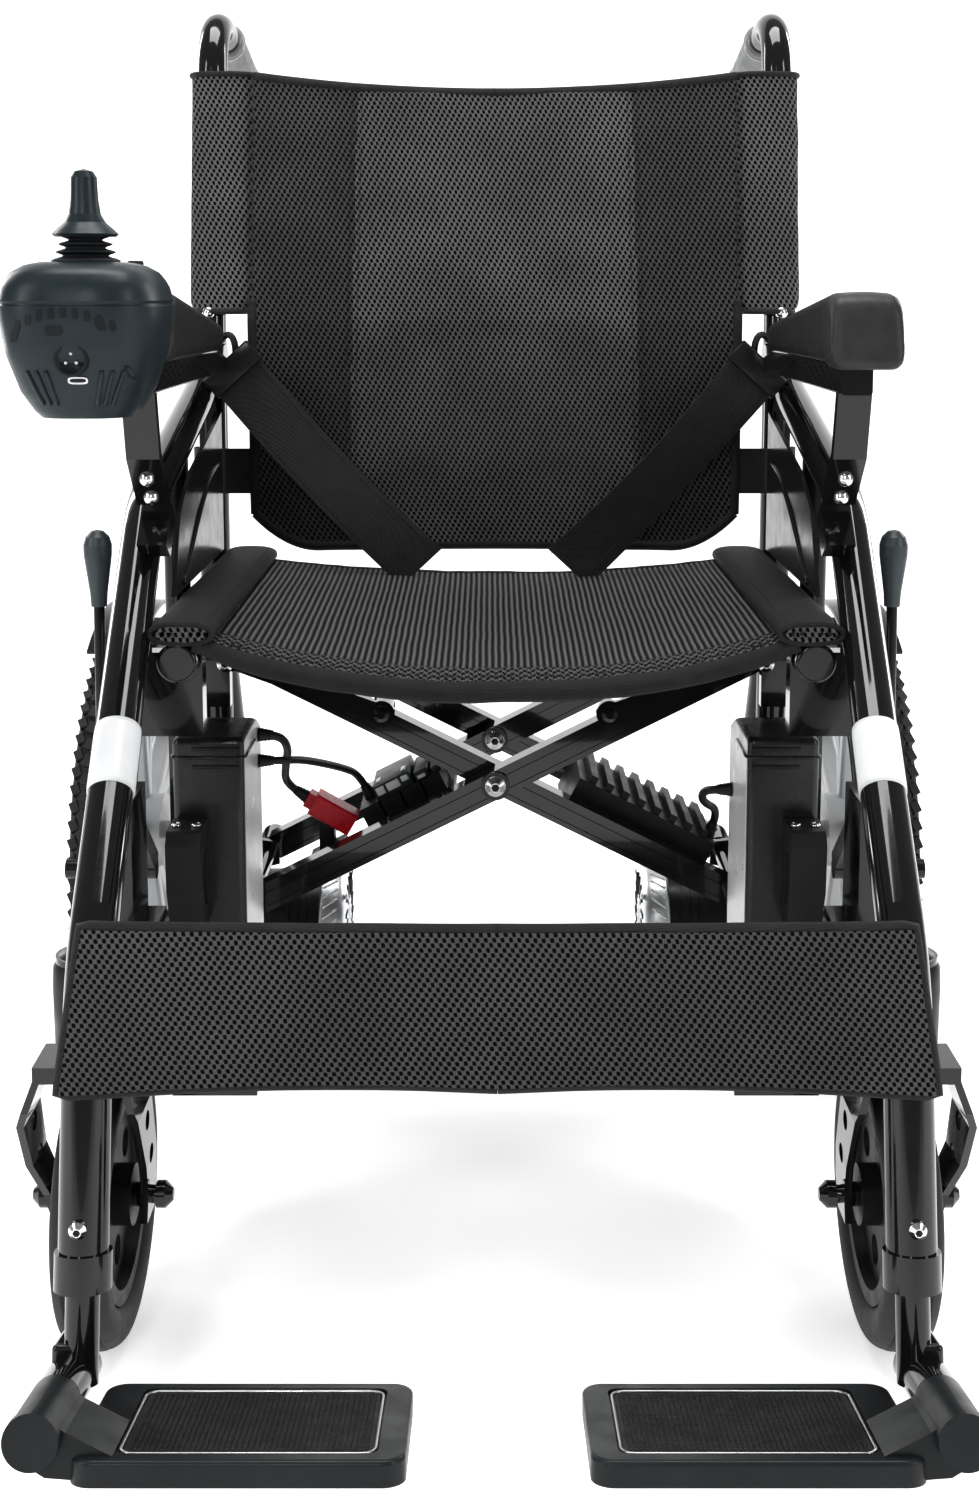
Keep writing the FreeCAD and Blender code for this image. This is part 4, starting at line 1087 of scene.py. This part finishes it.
def small_screws(side, sign):
    """Recessed screws in the battery's handle, and domed nuts on cane and armrest bracket."""
    body, arm = side + "_frame", side + "_armrest"
    head = [(0, 0.3), (0, 3.8), (1.6, 3.2), (2.2, 2.0), (1.2, 1.8), (1.2, 0.2)]
    for i, x in enumerate((208, 222)):
        lathe("%s_handle_screw_%d" % (side, i), head, at(sign * x, 166, 331), 24, "chrome", body, "Z")
    dome = [(1.5, 0.3), (1.5, 5.4), (-1.6, 5.2), (-3.6, 3.8), (-4.6, 1.8), (-4.8, 0.2)]
    nuts = {"cane_nut": (CANE_X, 472.4, 681, body), "bracket_screw_high": (ARMREST_X, 143.6, 576, arm),
            "bracket_screw_low": (ARMREST_X, 157.4, 562, arm)}
    for name, (x, depth, z, rider) in nuts.items():
        lathe("%s_%s" % (side, name), dome, at(sign * x, depth, z), 24, "chrome", rider, "Y")


def bolt_sockets(side, sign):
    """Dark hexagons on the heads that face forward, painted shade of their sockets."""
    leg_face = leg_depth(190) - LEG_R / math.cos(LEG_LEAN) + 0.6
    heads = {"leg": (LEG_X, leg_face, 190, 5.0), "cane": (CANE_X, 472.2, 662, 5.5),
             "link": (200, 261.6, 426, 6.0), "brake_low": (292, 225.6, 240, 5.0),
             "brake_high": (292, 225.6, 296, 5.0)}
    for name, (x, y, z, radius) in heads.items():
        socket(side + "_" + name + "_socket", at(sign * x, y - 5.5, z), radius, side + "_frame")


def socket(name, face, radius, body):
    """Dark hexagon on a bolt's flat front, painted shade standing for the hollow of its socket."""
    size = radius * 0.42
    hexagon = [face + Vector((size * math.cos(math.pi * k / 3), d, size * math.sin(math.pi * k / 3))) / 1000
               for d in (-0.15, 0.6) for k in range(6)]
    piece(name, (hexagon, capped_faces(6, 2)), "slate_dark", body, smooth=False)


def battery_lid(side, sign):
    """Overhanging rim of the battery's lid, round its front corners."""
    (x0, x1), y0, z = BATTERY_X, BATTERY_FRONT, 374.0
    line = [(x0 - 0.4, y0 + 52), (x0 - 0.4, y0 + 5), (x0 + 1, y0 + 1), (x0 + 5, y0 - 0.4),
            (x1 - 5, y0 - 0.4), (x1 - 1, y0 + 1), (x1 + 0.4, y0 + 5), (x1 + 0.4, y0 + 52)]
    tube(side + "_battery_lid_rim", [at(sign * x, y, z) for x, y in line], 0.0012, "gloss_plastic",
         side + "_frame", 8)


def motor_drum(side, sign):
    """Cast cover on the motor's inner end, with slanted ribs round it and dark strips in its face, painted
    shade of its slots.
    """
    body = side + "_frame"
    axis_z = 112.0

    def on_drum(x, r, turn):
        return at(sign * x, AXLE_DEPTH + r * math.cos(turn), axis_z + r * math.sin(turn))

    outline = [(160.4, 50), (160.4, 54.6), (158, 55.2), (143, 54.9), (139.5, 52.5), (136.6, 47.5),
               (136.2, 30), (136.2, 18), (138.5, 16), (139.5, 0.3)]
    lathe(side + "_motor_drum", [(sign * d, r) for d, r in outline], at(0, AXLE_DEPTH, axis_z), 72, "cast",
          body)
    ribs, slots = [], []
    shares = [i / 4 for i in range(5)]
    for a in turns_of(36):
        ribs.append(tube_parts([on_drum(144 + 13 * t, 55.0, a + 0.16 * t) for t in shares], 0.0011, 6))
    for a in turns_of(18):
        slots.append(tube_parts([on_drum(136.0, 24 + 20 * t, a + 0.3 * t) for t in shares], 0.0022, 8, 0.35))
    piece(side + "_motor_drum_ribs", joined(ribs), "cast", body)
    # Dark strips, painted shade standing for the slots' hollows.
    piece(side + "_motor_drum_slots", joined(slots), "slate_dark", body)
    head = [(sign * d, r) for d, r in ((0, 0.3), (0, 3.0), (-1.5, 2.6), (-2, 0.3))]
    for k, a in enumerate(turns_of(4)):
        lathe("%s_drum_screw_%d" % (side, k), head, on_drum(136.4, 50, a + math.pi / 4), 20, "zinc", body)


def guard_seam(side, sign):
    """Raised lip that curves across the side guard."""
    shares = [i / 29 for i in range(30)]
    line = [at(sign * 229.2, 262 + 190 * t, 486 + 70 * math.sin(math.pi * t / 2)) for t in shares]
    tube(side + "_guard_lip", line, 0.0016, "gloss_plastic", side + "_frame", 8)


for side, sign in SIDES.items():
    reflection_sleeve(side, sign)
    caster_cover(side, sign)
    battery_ribs(side, sign)
    small_screws(side, sign)
    bolt_sockets(side, sign)
    battery_lid(side, sign)
    motor_drum(side, sign)
    guard_seam(side, sign)


# ---- foot mats ----
PLATE_TILT = math.radians(13.0)
HINGE = Vector((236.0, -118.0, 104.0))


def on_plate(sign, x, back, up):
    """A point given across, to the rear of the hinge point and above its axis, on the tilted plate."""
    y = back * math.cos(PLATE_TILT) + up * math.sin(PLATE_TILT)
    z = -back * math.sin(PLATE_TILT) + up * math.cos(PLATE_TILT)
    return at(sign * x, HINGE.y + y, HINGE.z + z)


MAT_X, MAT_BACK = (64.5, 192.5), (-78.5, 1.5)
MAT_TOP = -11.5


def mat_stud(sign, x, back):
    """A small tapered stud that stands on the mat."""
    verts = [on_plate(sign, x + half * sx, back + half * sb, MAT_TOP + up)
             for up, half in ((0.6, 1.25), (1.7, 0.7)) for sx, sb in CORNERS]
    return verts, BOX_FACES


def foot_mat(side, sign):
    """Thin mat covered with rows of studs."""
    (x0, x1), (b0, b1) = MAT_X, MAT_BACK
    edge, columns, rows = 1.8, 42, 26
    corners = [(x0, b0), (x1, b0), (x1, b1), (x0, b1)]
    base = [on_plate(sign, x, b, up) for up in (MAT_TOP, MAT_TOP + 0.8) for x, b in corners]
    parts = [(base, BOX_FACES)]
    for i in range(columns):
        x = x0 + edge + (x1 - x0 - 2 * edge) * (i + 0.5) / columns
        for j in range(rows):
            parts.append(mat_stud(sign, x, b0 + edge + (b1 - b0 - 2 * edge) * (j + 0.5) / rows))
    piece(side + "_foot_mat", joined(parts), "mat", side + "_footplate_flap", smooth=False)


def mat_border(side, sign):
    """Thin bright bead round the mat, with rounded corners."""
    (x0, x1), (b0, b1) = MAT_X, MAT_BACK
    radius = 6.0
    bead = radius + 1.6
    border = []
    for quarter, (x, b) in enumerate(((x1 - radius, b1 - radius), (x0 + radius, b1 - radius),
                                      (x0 + radius, b0 + radius), (x1 - radius, b0 + radius))):
        for i in range(7):
            a = math.radians(90 * quarter + 15 * i)
            border.append(on_plate(sign, x + bead * math.cos(a), b + bead * math.sin(a), MAT_TOP + 1.0))
    border.append(border[0])
    tube(side + "_mat_border", border, 0.0009, "zinc", side + "_footplate_flap", 8)


for side, sign in SIDES.items():
    foot_mat(side, sign)
    mat_border(side, sign)


# ---- armrest pads ----
PAD_HALF = 23.0
PAD_REAR = 345.0
PAD_BASE = 653.4           # underside
PAD_FRONT_TOP, PAD_REAR_TOP = 698.0, 675.0


def pad_outline(front):
    """Side view of the pad, depth and height: a curled nose, and a top that falls to the rear."""
    hang = 3.0 if front < 100 else 0.0
    lip = PAD_BASE - hang
    nose = [(21, 0.6), (3, 0.2), (-2.6, 1.6), (-4.4, 4.6), (-4.2, 8.6), (-2.6, 11.2), (-2.0, 16), (-1.2, 24),
            (0.4, 32), (3.2, 38), (8, 42), (14, 43.6)]
    outline = [(front + d, lip + h * (PAD_FRONT_TOP - lip) / 45) for d, h in nose]
    run = PAD_REAR - front - 30
    outline += [(front + 24 + run * i / 12, PAD_FRONT_TOP - 0.4 - 22.6 * i / 12) for i in range(13)]
    outline += [(PAD_REAR + 1, 673), (PAD_REAR + 4, 669), (PAD_REAR + 4.6, 663), (PAD_REAR + 2, 656.6),
                (PAD_REAR - 2, PAD_BASE + 0.6)]
    outline += [(PAD_REAR - 4 - run * i / 12, PAD_BASE + 0.4) for i in range(13)]
    return outline


def armrest_pad(side, sign, front):
    """Crowned pad with rounded long edges."""
    outline = pad_outline(front)
    stations = [-1, -0.985, -0.94, -0.87, -0.78] + [-0.7 + 1.4 * i / 10 for i in range(11)]
    stations += [0.78, 0.87, 0.94, 0.985, 1]
    verts = []
    for share in stations:
        edge = max(0.0, (abs(share) - 0.7) / 0.3)
        inset = 6.5 * (1 - math.sqrt(max(0.0, 1 - edge ** 2)))
        crown = 1.6 * (1 - share ** 2)
        for d, z in outline:
            along = min(1.0, max(0.0, (d - front) / (PAD_REAR - front)))
            top = PAD_FRONT_TOP - (PAD_FRONT_TOP - PAD_REAR_TOP) * along
            middle = 0.5 * (PAD_BASE + top)
            up = 1 if z > middle else -1
            shift = inset * min(1.0, abs(z - middle) / 8)
            z = z - up * shift + (crown if up > 0 else 0.0)
            d += inset * (0.8 if d < front + 10 else -0.8 if d > PAD_REAR - 4 else 0.0)
            verts.append(at(sign * (ARMREST_X + share * PAD_HALF), d, z))
    shape = (verts, capped_faces(len(outline), len(stations)))
    pad = piece(side + "_arm_cushion", shape, "pad", side + "_armrest")
    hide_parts(side + "_armrest_pad")


armrest_pad("left", -1, 122.0)
armrest_pad("right", 1, 82.0)


# ---- joystick ----
def shell_section(z):
    """Half width, half depth of the joystick housing at a height."""
    levels = ((624, 27, 31), (628, 31, 35), (640, 38.5, 43), (662, 46, 52), (684, 49.6, 56),
              (691, 50.3, 56.6), (691.6, 49.2, 55.5), (693.2, 49.2, 55.5), (693.8, 50.0, 56.2),
              (704, 47.4, 53.4), (711, 42, 48), (715.5, 34, 40), (717, 26, 31))
    for (z0, a0, b0), (z1, a1, b1) in zip(levels, levels[1:]):
        if z <= z1:
            f = (z - z0) / (z1 - z0)
            return a0 + (a1 - a0) * f, b0 + (b1 - b0) * f
    return levels[-1][1:]


def shell_front(x, z):
    """Depth of the housing's front face."""
    a, b = shell_section(z)
    share = min(1.0, abs(x) / a)
    return STICK_DEPTH - b * (1 - share ** 3.0) ** (1 / 3.0)


def joystick_shell():
    """Housing, closed below and open at the top round the boot."""
    heights = [624, 624.6, 626, 628, 632, 636, 640, 646, 654, 662, 670, 678, 684, 688, 690.6, 691, 691.6,
               692.4, 693.2, 693.8, 694.4, 698, 702, 706, 709, 711, 713, 715, 716.2, 717]
    around, opening, rim = 72, 17, 717.2
    verts = []
    for z in heights:
        a, b = shell_section(z)
        for turn in turns_of(around):
            across, back = rounded(turn, 2 / 3.0)
            verts.append(at(STICK_X + a * across, STICK_DEPTH + b * back, z))
    for turn in turns_of(around):
        verts.append(at(STICK_X + opening * math.cos(turn), STICK_DEPTH + opening * math.sin(turn), rim))
    faces = band_faces(around, len(heights)) + [tuple(range(around))[::-1]]
    shell = piece("joystick_shell", (verts, faces), "slate", "left_armrest")
    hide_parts("joystick_housing")


def joystick_bracket():
    """Arm and plate that hold the housing to the armrest."""
    parts = [block_parts((-ARMREST_X - 6, STICK_DEPTH + 36, 636), (-ARMREST_X + 6, 108.5, 650)),
             block_parts((-ARMREST_X - 10, 107, 632.5), (-ARMREST_X + 10, 111.6, 652))]
    bevelled("joystick_bracket", joined(parts), "slate", "left_armrest", 1.2, smooth=False)


def shell_slot(name, x, z, wide, high, material="slate_dark", proud=0.35, lean=0.0):
    """A rounded opening on the front of the housing, as a thin insert; dark by default, painted shade of the
    hollow behind it.
    """
    steps = 20
    outline = []
    for turn in turns_of(steps):
        across, up = rounded(turn, 0.6)
        outline.append((x + wide / 2 * across + lean * high / 2 * up, z + high / 2 * up))
    verts = [at(STICK_X + px, shell_front(px, pz) + back, pz) for back in (-proud, 1.5) for px, pz in outline]
    return piece(name, (verts, capped_faces(steps, 2)), material, "left_armrest", smooth=False)


def joystick_details():
    """Vents, light, screw recesses, data port and charging socket on the housing's front."""
    # Vents and recesses are dark inserts, painted shade of their hollows.
    for i in range(9):
        x = -30 + 7.0 * i
        z = 687.5 - 0.010 * (x + 2) ** 2
        shell_slot("joystick_vent_%d" % i, x, z, 3.6, 6.4, lean=-0.02 * x / 6)
    shell_slot("joystick_light_recess", -8, 677.0, 10.5, 6.0)
    for i, (x, z, wide, high) in enumerate(((-33, 674, 5.5, 8), (19, 681, 6, 8), (33, 652, 4, 9))):
        shell_slot("joystick_screw_recess_%d" % i, x, z, wide, high, lean=0.3 if x < 0 else -0.3)
    shell_slot("joystick_usb_port", 3.5, 647.5, 12, 4.4, "zinc", 0.8)
    shell_slot("joystick_usb_slot", 3.5, 647.5, 9.4, 2.2, "slate_dark", 1.0)
    centre = at(STICK_X + 1, shell_front(1, 660), 660)
    ring = [(1.5, 10.2), (-1.0, 10.2), (-1.8, 9.4), (-1.6, 8.0), (0.6, 7.6), (0.8, 0.2)]
    lathe("joystick_charge_socket", ring, centre, 40, "slate_dark", "left_armrest", "Y")
    pin = [(0.8, 1.1), (-0.9, 1.1), (-1.2, 0.7), (-1.2, 0.1)]
    for i, degrees in enumerate((90, 210, 330)):
        a = math.radians(degrees)
        place = centre + Vector((3.6 * math.cos(a), 0, 3.6 * math.sin(a))) / 1000
        lathe("joystick_socket_pin_%d" % i, pin, place, 16, "zinc", "left_armrest", "Y")


def joystick_fins():
    """Low ribs on the lower front of the housing."""
    fins = []
    low, top = 633, 653
    for x in (-27, -21, -15, 18, 24, 30):
        line = []
        for i in range(9):
            z = low + (top - low) * i / 8
            shrink = 0.72 + 0.28 * i / 8
            line.append(at(STICK_X + x * shrink, shell_front(x * shrink, z) - 0.3, z))
        fins.append(tube_parts(line, 0.0014, 8))
    piece("joystick_fins", joined(fins), "slate", "left_armrest")


def joystick_boot():
    """Bellows with three folds."""
    folds = [(717.3, 20.5), (718.4, 20.8)]
    steps = 60
    for i in range(steps + 1):
        z = 718.6 + 14.2 * i / steps
        folds.append((z, 17.2 - 5.4 * i / steps + 2.6 * math.cos(2 * math.pi * 3 * i / steps)))
    folds += [(732.8, 5)]
    boot = lathe("joystick_bellows", folds, at(STICK_X, STICK_DEPTH, 0), 56, "boot", axis="Z")
    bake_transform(boot)
    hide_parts("joystick_boot")


joystick_shell()
joystick_bracket()
joystick_details()
joystick_fins()
joystick_boot()


# ---- leads ----
ARM_SLOPE = math.atan(BRACE_RISE)
PIVOT_X = 190.0
PIVOT_Z = CROSS_Z - BRACE_RISE * PIVOT_X


def on_arm(distance, height, depth, sign):
    """A point along a brace arm that starts at that side's lower pivot, and above its middle line."""
    x = -PIVOT_X + distance * math.cos(ARM_SLOPE) - height * math.sin(ARM_SLOPE)
    z = PIVOT_Z + distance * math.sin(ARM_SLOPE) + height * math.cos(ARM_SLOPE)
    return (-sign * x, depth, z)


def plug_tail(distance):
    slope = math.radians(30)
    return (-130 - distance * math.cos(slope), 342, 290 + distance * math.sin(slope))


LEADS = {
    "power_lead": ([(-176.6, 262, 372), (-161.6, 262, 372), (-157, 288, 356), (-163, 316, 334),
                    plug_tail(42), plug_tail(22)], 3.2, "left_frame", "brace_a"),
    "signal_lead": ([(-176.6, 262, 352), (-161.6, 262, 352), (-148, 288, 346), (-134, 318, 335),
                     (-120, 344, 324), on_arm(110, 38, 362, -1), on_arm(110, 18, 362, -1)],
                    3.0, "left_frame", "brace_a"),
    "controller_lead": ([(176.6, 262, 330), (161.6, 262, 330), (158, 290, 320), (162, 322, 303),
                         on_arm(34, 46, 352, 1), on_arm(34, 24, 352, 1)], 3.2, "right_frame", "brace_b"),
}


def battery_leads():
    for name, (route, radius, first, last) in LEADS.items():
        line = smooth_path([at(*p) for p in route])
        lead = tube(name, line, radius / 1000, "lead", sides=12)
        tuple(line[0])
        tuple(line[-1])
        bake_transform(lead)
        if name == "power_lead":
            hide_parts("battery_leads")
        for end, body in ((0, first), (-1, last)):
            a, b = line[end], line[4 if end == 0 else -5]
            reach = (b - a).normalized() * 0.011
            relief = [a + reach * i / 8 for i in range(9)]
            radii = [(radius + 2.4 - 1.6 * i / 8 - (0.5 if i % 2 else 0)) / 1000 for i in range(9)]
            tube("%s_relief_%s" % (name, "start" if end == 0 else "end"), relief, radii, "black_plastic",
                 body, 14)


def arm_block(d0, h0, d1, h1, y0, y1):
    """A block on top of the arm that starts on the left, as points and faces."""
    corners = ((d0, y0), (d1, y0), (d1, y1), (d0, y1))
    verts = [at(*on_arm(d, h, y, -1)) for h in (h0, h1) for d, y in corners]
    return verts, BOX_FACES


def plug_row_details():
    """Covers, latches and plain light blocks on the row of plugs."""
    groups = {
        "plug_cover": ("slate", [(119, 18.2, 151, 30, 332, 384)]),
        "plug_housings": ("black_plastic", [(153, 18.2, 165, 26, 333, 381), (167, 18.2, 175, 24, 333, 381)]),
        "plug_white_blocks": ("clear_white", [
            (121, 22, 128, 28.6, 330.4, 332.4), (130, 22, 141, 28.6, 330.4, 332.4),
            (143, 24, 149, 28.6, 330.4, 332.4), (155, 20, 162, 23, 331.4, 333.4)]),
        "plug_latches": ("zinc", [(122, 29.6, 126, 31, 340, 352), (144, 29.6, 148, 31, 340, 352)]),
    }
    for name, (material, blocks) in groups.items():
        bevelled(name, joined([arm_block(*block) for block in blocks]), material, "brace_a", 0.7)


battery_leads()
plug_row_details()
# Dark hexagons on the centre bolt, painted shade of its sockets.
for layer, depth in (("front", 279.0), ("rear", 420.0)):
    socket("brace_%s_socket" % layer, at(0, depth, CROSS_Z), 7.5, "brace_a")


# ---- floor, light and camera ----
def studio():
    reach, radius = 3.2, 1.2
    profile = [(-reach, 0.0)]
    profile += [(reach * 0.6 + radius * math.sin(a), radius - radius * math.cos(a))
                for a in (math.pi / 2 * i / 16 for i in range(17))]
    profile += [(reach * 0.6 + radius, 4.5)]
    verts = [Vector((x, y, z)) for x in (-4.5, 4.5) for y, z in profile]
    count = len(profile)
    faces = [(i, i + 1, count + i + 1, count + i) for i in range(count - 1)]
    mesh = bpy.data.meshes.new("studio_floor")
    mesh.from_pydata([tuple(v) for v in verts], [], faces)
    for polygon in mesh.polygons:
        polygon.use_smooth = True
    floor = bpy.data.objects.new("studio_floor", mesh)
    bpy.context.scene.collection.objects.link(floor)
    n = Nodes("studio_paper")
    mesh.materials.append(n.finish((0.92, 0.92, 0.92), 0.7, Emission_Color=(1, 1, 1, 1),
                                   Emission_Strength=0.5))

    world = bpy.data.worlds.new("studio_world")
    bpy.context.scene.world = world
    world.use_nodes = True
    background = world.node_tree.nodes["Background"]
    background.inputs["Color"].default_value = (1.0, 1.0, 1.0, 1)
    background.inputs["Strength"].default_value = 0.30


def softbox(name, place, target, width, height, power):
    data = bpy.data.lights.new(name, "AREA")
    data.shape = "RECTANGLE"
    data.size, data.size_y = width, height
    data.energy = power
    lamp = bpy.data.objects.new(name, data)
    bpy.context.scene.collection.objects.link(lamp)
    lamp.location = place
    lamp.rotation_mode = "QUATERNION"
    lamp.rotation_quaternion = (Vector(target) - Vector(place)).to_track_quat("-Z", "Y")


def lights_and_camera():
    softbox("key_left", (-1.9, -1.3, 1.3), (0, 0, 0.45), 0.35, 1.9, 20)
    softbox("key_right", (1.9, -1.3, 1.3), (0, 0, 0.45), 0.35, 1.9, 20)
    softbox("front_strip", (-0.5, -2.6, 1.6), (0, 0, 0.4), 0.25, 1.2, 14)
    softbox("top_box", (0, 0.1, 2.6), (0, 0, 0.3), 1.6, 1.0, 42)
    softbox("back_left", (-1.6, 1.4, 1.1), (0, 0, 0.5), 0.3, 1.6, 16)
    softbox("back_right", (1.6, 1.4, 1.1), (0, 0, 0.5), 0.3, 1.6, 16)
    data = bpy.data.cameras.new("studio_camera")
    camera = bpy.data.objects.new("studio_camera", data)
    bpy.context.scene.collection.objects.link(camera)
    data.sensor_width = 36.0
    data.lens = 43.3
    data.shift_y = -0.15
    camera.location = at(-4.5, -1049.4, 701.9)
    camera.rotation_euler = (math.radians(90 - 7.5), 0, 0)
    bpy.context.scene.camera = camera
    bpy.context.scene.view_settings.view_transform = "Standard"
    bpy.context.scene.view_settings.gamma = 0.86


studio()
lights_and_camera()
